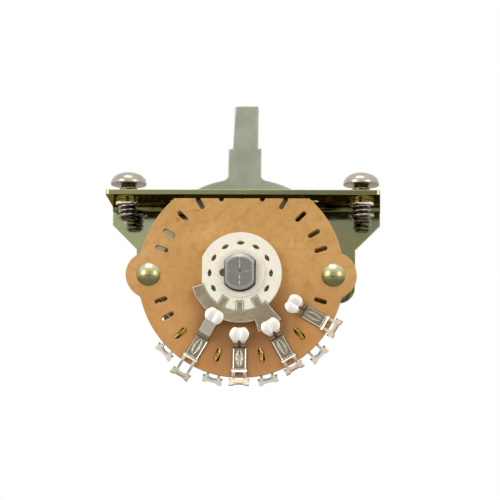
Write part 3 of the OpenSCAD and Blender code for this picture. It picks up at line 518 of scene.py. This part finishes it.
def cream_nylon(tones, name, face_y, hole_shade_share):
    """Moulded nylon: cream, a little translucent and softly glossy, a little darker around its bore, with
    painted olive shade in its holes.
    """
    f = Finish(name, {
        "Subsurface Weight": 0.25, "Subsurface Scale": 0.0008, "Specular IOR Level": 0.4})
    cloud = f.noise(3, 2.0)
    grain = f.noise(0.3, 3.0)
    cast = f.mix(f.smooth(cloud, 0.35, 0.7) * 0.6, tones.nylon, (0.95, 0.86, 0.69))
    out = f.reach(0, AXIS_Z)
    near_bore = 1.0 - f.smooth(out, 0.0026, 0.0044)
    cast = f.mix(near_bore * 0.3, cast, (0.72, 0.62, 0.44))
    x, y, z = f.axes()
    # Painted shade: an olive tint inside the rotor's holes.
    hole_shade = f.smooth(y, face_y + 0.00015, face_y + 0.0004) & f.smooth(out, 0.0044, 0.0046)
    hole_shade = hole_shade & (1.0 - f.smooth(out, 0.0062, 0.0064))
    cast = f.mix(hole_shade * hole_shade_share, cast, (0.85, 0.68, 0.32))
    f.feed("Base Color", cast)
    f.feed("Roughness", 0.34 + 0.16 * grain)
    f.relief(grain + cloud, 0.012, 0.12)
    return f.material


def coat_node(node, material):
    """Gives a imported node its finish; the node's mesh stays as it is."""
    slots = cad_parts[node].material_slots
    if not slots:
        raise RuntimeError(node + " has no material slot")
    for slot in slots:
        slot.material = material


def tones_of(context):
    return context.scene.switch_colours


# Screws

def skin(mesh, rings):
    """Joins rings of points into one closed skin."""
    rows = [[mesh.verts.new(p) for p in ring] for ring in rings]
    count = len(rings[0])
    for low, high in zip(rows, rows[1:]):
        for i in range(count):
            j = (i + 1) % count
            mesh.faces.new((low[i], low[j], high[j], high[i]))
    mesh.faces.new(list(reversed(rows[0])))
    mesh.faces.new(rows[-1])


def cross_recess(x, y, sizes):
    """Depth of the cross recess under a point of the head, in metres."""
    deepest = 0.0
    for along, across in ((x, y), (y, x)):
        inside = (sizes.recess_width / 2 - abs(across)) / (0.12 * MM)
        reach = 1 - abs(along) / sizes.recess_reach
        if inside > 0 and reach > 0:
            deepest = max(deepest, min(1.0, inside) * sizes.recess_depth * min(1.0, 1.5 * reach) ** 0.8)
    return deepest


def screw_rings(sizes, head_r, shank_l, segments=96):
    """Rings from the screw's point, up its thread and over its rounded head."""
    angles = [2 * math.pi * i / segments for i in range(segments)]
    depth = sizes.thread_crest - sizes.thread_root
    rings = []

    def ring(r, z):
        rings.append([(r * math.cos(a), r * math.sin(a), z) for a in angles])

    ring(0.7 * sizes.thread_root, -shank_l)
    step = sizes.thread_pitch / sizes.rows_per_turn
    for i in range(int((shank_l - 0.1 * MM) / step)):
        z = -shank_l + 0.02 * MM + i * step
        tip = sizes.thread_root * 0.85 + (z + shank_l)
        runout = sizes.thread_root + max(0.0, -z - 0.3 * MM)
        row = []
        for a in angles:
            turn = (z / sizes.thread_pitch - a / (2 * math.pi)) % 1.0
            crest = min(1.0, max(0.0, 1.35 - 3.2 * abs(turn - 0.5)))
            r = min(sizes.thread_root + depth * crest, tip, max(runout, sizes.thread_root))
            row.append((r * math.cos(a), r * math.sin(a), z))
        rings.append(row)
    rim = sizes.head_rim
    ring(sizes.thread_root, -0.05 * MM)
    ring(sizes.thread_root + 0.1 * MM, 0)
    ring(head_r - 1.2 * rim, 0)
    for k in range(1, 7):
        bend = math.pi * k / 12
        ring(head_r - rim + rim * math.sin(bend), rim - rim * math.cos(bend))
    rise = sizes.head_height - sizes.crown_drop - rim
    for k in range(1, 61):
        bend = math.pi / 2 * k / 60
        r = head_r * math.cos(bend)
        z = rim + rise * math.sin(bend) ** 0.92
        rings.append([
            (r * math.cos(a), r * math.sin(a), z - cross_recess(r * math.cos(a), r * math.sin(a), sizes))
            for a in angles])
    return rings


def make_screw(node, sizes, material):
    """Replaces a packed screw by one with a real thread and a cross recess."""
    low, high = (Vector(c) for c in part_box(node))
    head_r = (high.x - low.x) / 2
    under = high.z - sizes.head_height
    mesh = bmesh.new()
    skin(mesh, screw_rings(sizes, head_r, under - low.z))
    bmesh.ops.remove_doubles(mesh, verts=mesh.verts, dist=1e-7)
    uv = mesh.loops.layers.uv.new("thread")
    for face in mesh.faces:
        for loop in face.loops:
            place = loop.vert.co
            loop[uv].uv = (math.hypot(place.x, place.y) / MM, place.z / MM)
    centre = Vector(((low.x + high.x) / 2, (low.y + high.y) / 2, under))
    mesh.transform(Matrix.Translation(centre) @ Matrix.Rotation(0.35 * (1 if centre.x > 0 else 2), 4, "Z"))
    screw = finish_piece(mesh, node + "_threaded", [material], 32)
    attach(screw, "root")
    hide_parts(node)


def finish_piece(mesh, name, materials, smooth_deg):
    """Turns a bmesh into an object with its materials, smooth where it bends gently."""
    bmesh.ops.recalc_face_normals(mesh, faces=mesh.faces)
    for edge in mesh.edges:
        if len(edge.link_faces) == 2 and edge.calc_face_angle(0.0) > math.radians(smooth_deg):
            edge.smooth = False
    for face in mesh.faces:
        face.smooth = True
    data = bpy.data.meshes.new(name)
    mesh.to_mesh(data)
    mesh.free()
    for material in materials:
        data.materials.append(material)
    piece = bpy.data.objects.new(name, data)
    bpy.context.scene.collection.objects.link(piece)
    return piece


# Clips

def blend_row(table, x):
    """Reads a row of values at x from a table of (x, values...) by straight interpolation."""
    for before, after in zip(table, table[1:]):
        if x <= after[0]:
            share = (x - before[0]) / max(after[0] - before[0], 1e-9)
            share = min(1.0, max(0.0, share))
            return [b + share * (a - b) for b, a in zip(before[1:], after[1:])]
    return list(table[-1][1:])


def half_lens(x, middle, half_length, half_width):
    """Half width of a pointed oval at x."""
    u = (x - middle) / half_length
    return half_width * max(0.0, 1 - u * u)


def strip_between(mesh, uv, stations, columns, shape):
    """Lays both halves of a folded strip; a station's inner edge may open along its middle.
    Each station is (x, inner, outer), and shape gives the height over the wafer at x, y, t."""
    for side in (-1, 1):
        rows = []
        for x, inner, outer in stations:
            row = []
            for c in range(columns + 1):
                t = c / columns
                y = side * (inner + (outer - inner) * t)
                row.append((mesh.verts.new((x, y, shape(x, y, t))), (x, y)))
            rows.append(row)
        for low, high in zip(rows, rows[1:]):
            for c in range(columns):
                corners = [low[c], high[c], high[c + 1], low[c + 1]]
                if side < 0:
                    corners.reverse()
                face = mesh.faces.new([corner[0] for corner in corners])
                for loop, corner in zip(face.loops, corners):
                    loop[uv].uv = ((corner[1][0] / MM - 14.6), corner[1][1] / MM)


def clip_outline(sizes, head_r, lug_end):
    """Rows of (x, inner, outer) along a clip, from its head to its solder lug."""
    half = sizes.head_width / 2
    neck = sizes.neck_width / 2
    body = sizes.body_width / 2
    start = head_r - sizes.head_length / 2
    end = head_r + sizes.head_length / 2
    lug_start = lug_end - sizes.lug_length
    lug = sizes.lug_width / 2
    outer = [
        (start, 0.50 * half), (start + 0.03 * MM, 0.62 * half), (start + 0.12 * MM, 0.70 * half),
        (start + 0.5 * MM, 0.87 * half), (start + 0.85 * MM, 0.97 * half), (start + 1.15 * MM, half),
        (start + 1.5 * MM, 0.97 * half), (start + 1.85 * MM, 0.86 * half), (end - 0.05 * MM, 0.76 * half),
        (end + 0.12 * MM, neck), (sizes.body_start - 0.12 * MM, neck), (sizes.body_start + 0.1 * MM, body),
        (sizes.body_end - 0.05 * MM, body), (sizes.body_end + 0.1 * MM, body + 0.13 * MM),
        (sizes.window_start - 0.1 * MM, body + 0.13 * MM), (sizes.window_start + 0.04 * MM, body),
        (lug_start - 0.03 * MM, body), (lug_start, lug - 0.02 * MM), (lug_start + 0.03 * MM, lug),
        (lug_start + 0.35 * MM, lug - 0.07 * MM), (lug_end - 0.35 * MM, lug - 0.07 * MM),
        (lug_end - 0.03 * MM, lug), (lug_end, lug - 0.02 * MM)]
    gap = body - sizes.leg_width
    cove = lug - sizes.lug_ear
    inner = [(start, 0.0)]
    if head_r == sizes.short_head_r:
        hole = end + 0.5 * MM
        inner += [
            (hole + s * 0.6 * MM, 0.3 * MM * math.sqrt(max(0.0, 1 - s * s)))
            for s in (-1, -0.97, -0.87, -0.7, -0.4, 0, 0.4, 0.7, 0.87, 0.97, 1)]
    inner += [
        (sizes.window_start - 0.02 * MM, 0.0), (sizes.window_start, 0.6 * gap),
        (sizes.window_start + 0.12 * MM, gap), (lug_start, gap)]
    inner += [
        (lug_start + s * sizes.lug_arch, gap * math.sqrt(max(0.0, 1 - s ** 1.3)))
        for s in (0.2, 0.4, 0.6, 0.8, 0.92, 0.98, 1)]
    inner += [
        (lug_end - sizes.lug_recess - 0.02 * MM, 0.0), (lug_end - sizes.lug_recess, 0.84 * cove),
        (lug_end - 0.5 * sizes.lug_recess, 0.95 * cove), (lug_end, cove)]
    steps = 44
    xs = sorted(
        {round(x, 8) for x, _ in outer + inner}
        | {round(start + (sizes.body_end - start) * i / steps, 8) for i in range(steps + 1)})
    return [(x, blend_row(inner, x)[0], blend_row(outer, x)[0]) for x in xs]


def clip_relief(sizes, head_r, lug_end):
    """The height of a clip's sheet over the wafer."""
    end = head_r + sizes.head_length / 2
    start = head_r - sizes.head_length / 2
    flat = sizes.sheet / 2
    top = sizes.head_height
    fall = top - flat
    foot = sizes.body_start + 0.25 * MM
    reach = foot - end
    raised = flat + sizes.leg_rise
    if head_r == sizes.short_head_r:
        stairs = [(0.0, 0.0), (0.16, 0.12), (0.3, 0.15), (0.5, 0.5), (0.62, 0.54), (0.88, 0.95), (1, 1)]
    else:
        stairs = [(0.0, 0.0), (0.7, 0.30), (0.76, 0.32), (0.86, 0.66), (0.9, 0.7), (0.97, 0.96), (1, 1)]
    heights = [(start, top), (end, top)]
    heights += [(end + reach * u, top - fall * v) for u, v in stairs[1:]]
    heights += [
        (sizes.body_end, flat), (sizes.body_end + 0.12 * MM, flat + 0.35 * sizes.leg_rise),
        (sizes.body_end + 0.25 * MM, flat + 0.8 * sizes.leg_rise), (sizes.body_end + 0.4 * MM, raised)]
    crease_mid = (sizes.body_start + sizes.body_end) / 2 + 0.08 * MM
    crease_half = 1.75 * MM
    lug_start = lug_end - sizes.lug_length

    def height(x, y, t):
        z = blend_row(heights, x)[0] + max(0.0, x - lug_start) * math.tan(sizes.lug_bend)
        if start <= x <= end + 0.1 * MM:
            u = (x - start) / (end - start)
            lobe = math.sin(math.pi * min(1.0, max(0.0, 0.12 + 0.78 * u))) ** 0.6
            side = math.sin(math.pi * (0.1 + 0.8 * t))
            z += sizes.head_dome * (lobe * side - 0.5 * (1 - lobe))
        if foot < x < sizes.body_end:
            z += sizes.lip_height * max(0.0, (t - 0.84) / 0.16) ** 0.7
            wide = half_lens(x, crease_mid, crease_half, sizes.crease_width / 2)
            if wide > 0.02 * MM and abs(y) < 1.2 * wide:
                u = abs(y) / wide
                z += sizes.crease_height * (
                    math.exp(-((u - 0.8) / 0.2) ** 2) - 1.2 * math.exp(-(u / 0.3) ** 2))
        return z

    return height


def add_lower_jaw(mesh, uv, sizes, head_r):
    """The jaw under the head, so that the rotor's blade runs between the two."""
    flat = sizes.sheet / 2
    start = head_r - sizes.head_length / 2 + 0.2 * MM
    bend = head_r + sizes.head_length / 2 + 0.3 * MM
    foot = sizes.body_start + 0.2 * MM
    half = 0.31 * sizes.head_width
    split = 0.42 * MM if head_r == sizes.short_head_r else 0.0
    heights = [
        (start, sizes.jaw_height - 0.08 * MM), (start + 0.3 * MM, sizes.jaw_height),
        (bend - 0.1 * MM, sizes.jaw_height), (bend + 0.1 * MM, sizes.jaw_height - 0.12 * MM),
        (foot - 0.08 * MM, flat + 0.1 * MM), (foot + 0.2 * MM, flat)]
    rows = [(start, 0.0, 0.7 * half), (start + 0.1 * MM, 0.0, 0.92 * half), (start + 0.3 * MM, 0.0, half)]
    rows += [(bend - 0.22 * MM, 0.0, half), (bend - 0.2 * MM, split, half)]
    rows += [(x, split, half) for x, _ in heights[2:]]
    strip_between(mesh, uv, rows, 4, lambda x, y, t: blend_row(heights, x)[0])


def add_clinched_tab(mesh, uv, sizes, wafer_t):
    """The bare tab that comes through the wafer's slot and is spread and twisted over."""
    middle = 14.5 * MM
    half_l = 1.34 * MM
    half_w = 0.36 * MM
    rows = []
    for i in range(15):
        u = -1 + 2 * i / 14
        row = []
        for j in range(9):
            v = -1 + 2 * j / 8
            wide = half_w * (1 - 0.9 * abs(u) ** 2.4)
            crown = sizes.tab_height * (1 - 0.45 * u * u) * (1 - 0.5 * v * v)
            seam = 0.5 * sizes.tab_height * math.exp(-((v - 0.15) / 0.2) ** 2) * (1 - abs(u))
            y = wide * v + 0.14 * MM * math.sin(math.pi * u)
            row.append(mesh.verts.new((middle + half_l * u, y, -wafer_t - crown + seam)))
        rows.append(row)
    faces = []
    for low, high in zip(rows, rows[1:]):
        for j in range(8):
            faces.append(mesh.faces.new((low[j], low[j + 1], high[j + 1], high[j])))
    rim = [rows[0][j] for j in range(9)] + [row[8] for row in rows[1:]]
    rim += [rows[-1][j] for j in range(7, -1, -1)] + [row[0] for row in reversed(rows[1:-1])]
    base = [mesh.verts.new((v.co.x, v.co.y * 0.6, 0.0)) for v in rim]
    for i in range(len(rim)):
        j = (i + 1) % len(rim)
        faces.append(mesh.faces.new((rim[j], rim[i], base[i], base[j])))
    for face in faces:
        face.material_index = 1
        for loop in face.loops:
            loop[uv].uv = (9.0, 9.0)
    return faces


def make_clip(node, degrees, sizes, materials):
    """Replaces a packed clip by a folded sheet with domed lobes, a crease, legs and a lug."""
    rear = node.startswith("rear")
    common = node.endswith("common")
    if rear:
        lug_end = WAFER_R + (sizes.rear_common_reach if common else sizes.rear_reach)
    else:
        lug_end = WAFER_R + (sizes.front_common_reach if common else sizes.front_reach)
    head_r = sizes.long_head_r if common else sizes.short_head_r
    wafer_t = WAFER_HIGH[1] - WAFER_LOW[1]
    face_y = WAFER_HIGH[1] if rear else WAFER_LOW[1]
    turn = Matrix.Rotation(math.radians(90 - degrees), 4, "Y")
    stand = Matrix.Rotation(math.radians(-90 if rear else 90), 4, "X")
    place = Matrix.Translation((0, face_y, AXIS_Z)) @ turn @ stand
    sheet = bmesh.new()
    uv = sheet.loops.layers.uv.new("fold")
    strip_between(sheet, uv, clip_outline(sizes, head_r, lug_end), 10, clip_relief(sizes, head_r, lug_end))
    bmesh.ops.remove_doubles(sheet, verts=sheet.verts, dist=2e-6)
    add_lower_jaw(sheet, uv, sizes, head_r)
    bmesh.ops.remove_doubles(sheet, verts=sheet.verts, dist=2e-6)
    ends_uv = sheet.loops.layers.uv.new("ends")
    for face in sheet.faces:
        for loop in face.loops:
            along = loop.vert.co.x
            loop[ends_uv].uv = ((along - lug_end) / MM, (along - head_r) / MM)
    sheet.transform(place)
    clip = finish_piece(sheet, node + "_folded", materials, 50)
    thick = clip.modifiers.new("Sheet", "SOLIDIFY")
    thick.thickness = sizes.sheet
    thick.offset = 0.0
    thick.material_offset_rim = 2
    soft = clip.modifiers.new("Edges", "BEVEL")
    soft.width = 0.04 * MM
    soft.segments = 2
    soft.limit_method = "ANGLE"
    soft.angle_limit = math.radians(50)
    tab = bmesh.new()
    add_clinched_tab(tab, tab.loops.layers.uv.new("fold"), sizes, wafer_t)
    tab.transform(place)
    clinched = finish_piece(tab, node + "_tab", materials, 60)
    for piece in (clip, clinched):
        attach(piece, "root")
        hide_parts(node)


# Index spring

def make_leaf(node, material):
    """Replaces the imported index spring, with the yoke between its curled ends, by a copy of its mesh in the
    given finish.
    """
    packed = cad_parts[node]
    data = packed.data.copy()
    data.transform(packed.matrix_world)
    data.materials.clear()
    data.materials.append(material)
    leaf = bpy.data.objects.new(node + "_leaf", data)
    bpy.context.scene.collection.objects.link(leaf)
    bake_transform(leaf)
    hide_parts(node)


# Studio

def stage_plane(name, size, centre, tilt, material):
    """A flat card or floor that isn't part of the switch."""
    half = Vector(size) / 2
    data = bpy.data.meshes.new(name)
    corners = [(-half.x, -half.y, 0), (half.x, -half.y, 0), (half.x, half.y, 0), (-half.x, half.y, 0)]
    data.from_pydata(corners, [], [(0, 1, 2, 3)])
    data.materials.append(material)
    card = bpy.data.objects.new(name, data)
    card.location = centre
    card.rotation_euler = tilt
    bpy.context.scene.collection.objects.link(card)
    return card


def plain_matte(name, base):
    f = Finish(name, {"Roughness": 0.9, "Specular IOR Level": 0.1})
    tint = f.mix(f.smooth(f.noise(60, 2.0), 0.3, 0.7) * 0.15, base, tuple(0.96 * v for v in base))
    f.feed("Base Color", tint)
    return f.material


def graded_flag(name, left, right):
    """A grey card that only polished metal mirrors, graded from its left to its right."""
    f = Finish(name, {"Base Color": (0, 0, 0, 1), "Roughness": 1.0, "Specular IOR Level": 0.0})
    x, y, z = f.axes()
    grade = f.smooth(x, -0.07, 0.05)
    f.feed("Emission Color", f.mix(grade, (left,) * 3, (right,) * 3))
    f.shader.inputs["Emission Strength"].default_value = 1.0
    return f.material


def soft_lamp(name, place, size, power, target):
    lamp = bpy.data.lights.new(name, "AREA")
    lamp.shape = "RECTANGLE"
    lamp.size, lamp.size_y = size
    lamp.energy = power
    made = bpy.data.objects.new(name, lamp)
    made.location = place
    made.rotation_mode = "QUATERNION"
    made.rotation_quaternion = (Vector(target) - Vector(place)).to_track_quat("-Z", "Y")
    made.visible_camera = False
    bpy.context.scene.collection.objects.link(made)


def white_surroundings(sky):
    """White to the camera and to polished metal, softer as light on the switch."""
    world = bpy.data.worlds.new("white_surroundings")
    bpy.context.scene.world = world
    world.use_nodes = True
    tree = world.node_tree
    background = tree.nodes["Background"]
    background.inputs["Color"].default_value = (1, 1, 1, 1)
    path = tree.nodes.new("ShaderNodeLightPath")
    seen = None
    for ray in ("Is Camera Ray", "Is Glossy Ray", "Is Transmission Ray"):
        if seen is None:
            seen = path.outputs[ray]
            continue
        either = tree.nodes.new("ShaderNodeMath")
        either.operation = "MAXIMUM"
        tree.links.new(seen, either.inputs[0])
        tree.links.new(path.outputs[ray], either.inputs[1])
        seen = either.outputs[0]
    level = tree.nodes.new("ShaderNodeMapRange")
    level.inputs["To Min"].default_value = sky
    level.inputs["To Max"].default_value = 1.0
    tree.links.new(seen, level.inputs["Value"])
    tree.links.new(level.outputs[0], background.inputs["Strength"])


def photograph_camera():
    """The camera where the photograph was taken from, a little below the plate and looking up."""
    yaw, pitch, roll = -0.0577, 0.1736, 0.0136
    ahead = Vector((math.sin(yaw) * math.cos(pitch), math.cos(yaw) * math.cos(pitch), math.sin(pitch)))
    right = ahead.cross(Vector((0, 0, 1))).normalized()
    up = right.cross(ahead)
    right, up = (
        math.cos(roll) * right + math.sin(roll) * up,
        -math.sin(roll) * right + math.cos(roll) * up)
    data = bpy.data.cameras.new("photograph_camera")
    data.sensor_width = 36.0
    data.lens = 167.37
    data.clip_start = 0.01
    data.clip_end = 20.0
    camera = bpy.data.objects.new("photograph_camera", data)
    camera.matrix_world = Matrix((
        (right.x, up.x, -ahead.x, 0.024386),
        (right.y, up.y, -ahead.y, -0.403033),
        (right.z, up.z, -ahead.z, -0.080376),
        (0, 0, 0, 1)))
    bpy.context.scene.collection.objects.link(camera)
    bpy.context.scene.camera = camera


# Operators, one for each piece or group of like pieces

class SWITCH_OT_studio(Operator):
    """Set up the floor, the lamps, the white surroundings and the photograph's camera"""
    bl_idname = "switch.studio"
    bl_label = "Studio"

    def execute(self, context):
        studio = context.scene.switch_studio
        context.scene.view_settings.view_transform = "Standard"
        photograph_camera()
        white_surroundings(studio.sky)
        stage_plane("floor", (6, 6), (0, 0, studio.floor_z), (0, 0, 0), plain_matte(
            "floor_paper", tuple(studio.floor_colour)))
        flags = [
            stage_plane("camera_flag", (0.22, 0.16), (-0.03, -0.62, 0.095), (math.radians(80), 0, 0),
                        graded_flag("flag_high", studio.flag_left, studio.flag_right)),
            stage_plane("low_flag", (0.26, 0.11), (-0.03, -0.50, -0.0745), (math.radians(90), 0, 0),
                        graded_flag("flag_low", studio.flag_low, studio.flag_low))]
        for flag in flags:
            flag.visible_camera = False
            flag.visible_diffuse = False
            flag.visible_shadow = False
            flag.visible_transmission = False
        aim = (0, 0, -0.01)
        soft_lamp("left_lamp", (-0.44, -0.48, 0.16), (0.30, 0.30), studio.key, aim)
        soft_lamp("right_lamp", (0.46, -0.46, 0.14), (0.28, 0.28), studio.fill, aim)
        soft_lamp("top_lamp", (-0.05, -0.22, 0.60), (0.36, 0.30), studio.top, aim)
        return {"FINISHED"}


class SWITCH_OT_bracket(Operator):
    """Finish the bracket, its rivets, spacers and bearing bushing"""
    bl_idname = "switch.bracket"
    bl_label = "Bracket and rivets"

    def execute(self, context):
        tones = tones_of(context)
        coat_node("bracket", yellow_zinc("yellow_zinc", tones, 0.04, 0.14))
        rivet = rivet_zinc(tones)
        for node in ("rivet_left", "rivet_right"):
            coat_node(node, rivet)
        tube = plated("nickel_plate", tuple(tones.nickel), (0.52, 0.49, 0.42), 0.2, 0.3, 0.1)
        for node in ("spacer_left", "spacer_right", "thrust_washer"):
            coat_node(node, tube)
        coat_node("bearing_bushing", plated(
            "turned_brass", tuple(tones.brass), (0.50, 0.34, 0.12), 0.22, 0.25, 0.1, (0.3, 3, 0.3)))
        return {"FINISHED"}


class SWITCH_OT_wafer(Operator):
    """Finish the punched board that carries the contacts"""
    bl_idname = "switch.wafer"
    bl_label = "Wafer"

    def execute(self, context):
        coat_node("wafer", paper_board(tones_of(context)))
        return {"FINISHED"}


class SWITCH_OT_lever(Operator):
    """Finish the lever, the shaft and its retaining ring"""
    bl_idname = "switch.lever"
    bl_label = "Lever and shaft"

    def execute(self, context):
        tones = tones_of(context)
        coat_node("lever", lever_zinc(tones))
        coat_node("shaft", shaft_steel(tones))
        coat_node("retaining_ring", plated(
            "ring_steel", tuple(tones.spring_steel), (0.20, 0.20, 0.21), 0.3, 0.2, 0.08))
        return {"FINISHED"}


class SWITCH_OT_rotor(Operator):
    """Finish the rotor's two discs and its contact blades"""
    bl_idname = "switch.rotor"
    bl_label = "Rotor and blades"

    def execute(self, context):
        tones = tones_of(context)
        # The blade's rim colour is a painted highlight along its edges.
        blade = plated(
            "blade_silver", (0.60, 0.51, 0.35), (0.33, 0.25, 0.14), 0.18, 0.25, 0.1, (0.2, 1, 1),
            rim=(0.98, 0.94, 0.82), rubbed=0.6)
        front_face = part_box("front_blade")[0][1]
        # Only the front rotor's holes get the painted olive shade; the rear rotor's share of it is 0.
        coat_node("rotor_front", cream_nylon(tones, "rotor_nylon", front_face, 0.35))
        coat_node("rotor_rear", cream_nylon(tones, "rotor_nylon_rear", front_face, 0.0))
        for node in ("front_blade", "rear_blade"):
            coat_node(node, blade)
        return {"FINISHED"}


class SWITCH_OT_detent(Operator):
    """Finish the index spring, the roller, its pin and its yoke"""
    bl_idname = "switch.detent"
    bl_label = "Detent"

    def execute(self, context):
        tones = tones_of(context)
        make_leaf("index_spring", plated(
            "spring_steel", tuple(tones.spring_steel), (0.22, 0.22, 0.24), 0.26, 0.3, 0.08, (0.3, 1, 1)))
        yoke = plated("yoke_nickel", tuple(tones.nickel), (0.52, 0.49, 0.42), 0.24, 0.25, 0.1)
        for node in ("roller_yoke", "roller_pin"):
            coat_node(node, yoke)
        coat_node("detent_roller", plated(
            "roller_brass", tuple(tones.brass), (0.50, 0.34, 0.12), 0.2, 0.2, 0.1, (0.3, 3, 0.3)))
        return {"FINISHED"}


class SWITCH_OT_screws(Operator):
    """Make the two mounting screws with their thread and cross recess"""
    bl_idname = "switch.screws"
    bl_label = "Mounting screws"

    def execute(self, context):
        sizes = context.scene.switch_screws
        metal = screw_plating(tones_of(context), sizes)
        for node in ("mounting_screw_left", "mounting_screw_right"):
            make_screw(node, sizes, metal)
        return {"FINISHED"}


class SWITCH_OT_clips(Operator):
    """Fold the eight contact clips with their solder lugs and clinched tabs"""
    bl_idname = "switch.clips"
    bl_label = "Contact clips"

    def execute(self, context):
        tones = tones_of(context)
        # The front and rear clips are lit and shaded copies of one silver: painted shade on the front lugs, a
        # painted highlight on the rear lugs, and a shade line at a place of its own.
        front = silver_clip(tones, "contact_silver", (0.36, 0.30, 0.205), -0.32)
        rear = silver_clip(tones, "contact_silver_rear", (0.84, 0.79, 0.68), -0.72)
        sheared = plated("sheared_edge", (0.34, 0.28, 0.19), (0.22, 0.17, 0.10), 0.3, 0.15, 0.0)
        brass = plated("tab_brass", tuple(tones.tab_brass), (0.30, 0.20, 0.04), 0.22, 0.2, 0.05)
        for node, degrees in {**FRONT_CLIPS, **REAR_CLIPS}.items():
            silver = rear if node in REAR_CLIPS else front
            make_clip(node, degrees, context.scene.switch_clips, [silver, brass, sheared])
        return {"FINISHED"}


STEPS = (
    SWITCH_OT_studio, SWITCH_OT_bracket, SWITCH_OT_wafer, SWITCH_OT_lever,
    SWITCH_OT_rotor, SWITCH_OT_detent, SWITCH_OT_screws, SWITCH_OT_clips)


class SWITCH_PT_sidebar(Panel):
    """Every step of dressing the switch, in order"""
    bl_idname = "SWITCH_PT_sidebar"
    bl_label = "Pickup selector switch"
    bl_space_type = "VIEW_3D"
    bl_region_type = "UI"
    bl_category = "Switch"

    def draw(self, context):
        for step in STEPS:
            self.layout.operator(step.bl_idname)


GROUPS = {
    "switch_screws": ScrewSizes, "switch_clips": ClipSizes,
    "switch_colours": SwitchColours, "switch_studio": StudioSettings}


def register():
    for cls in (*GROUPS.values(), *STEPS, SWITCH_PT_sidebar):
        bpy.utils.register_class(cls)
    for name, group in GROUPS.items():
        setattr(bpy.types.Scene, name, PointerProperty(type=group))


def unregister():
    for name in GROUPS:
        delattr(bpy.types.Scene, name)
    for cls in reversed((*GROUPS.values(), *STEPS, SWITCH_PT_sidebar)):
        bpy.utils.unregister_class(cls)


def main():
    register()
    bpy.ops.switch.studio()
    bpy.ops.switch.bracket()
    bpy.ops.switch.wafer()
    bpy.ops.switch.lever()
    bpy.ops.switch.rotor()
    bpy.ops.switch.detent()
    bpy.ops.switch.screws()
    bpy.ops.switch.clips()
    bpy.context.view_layer.update()


if __name__ == "__main__":
    main()
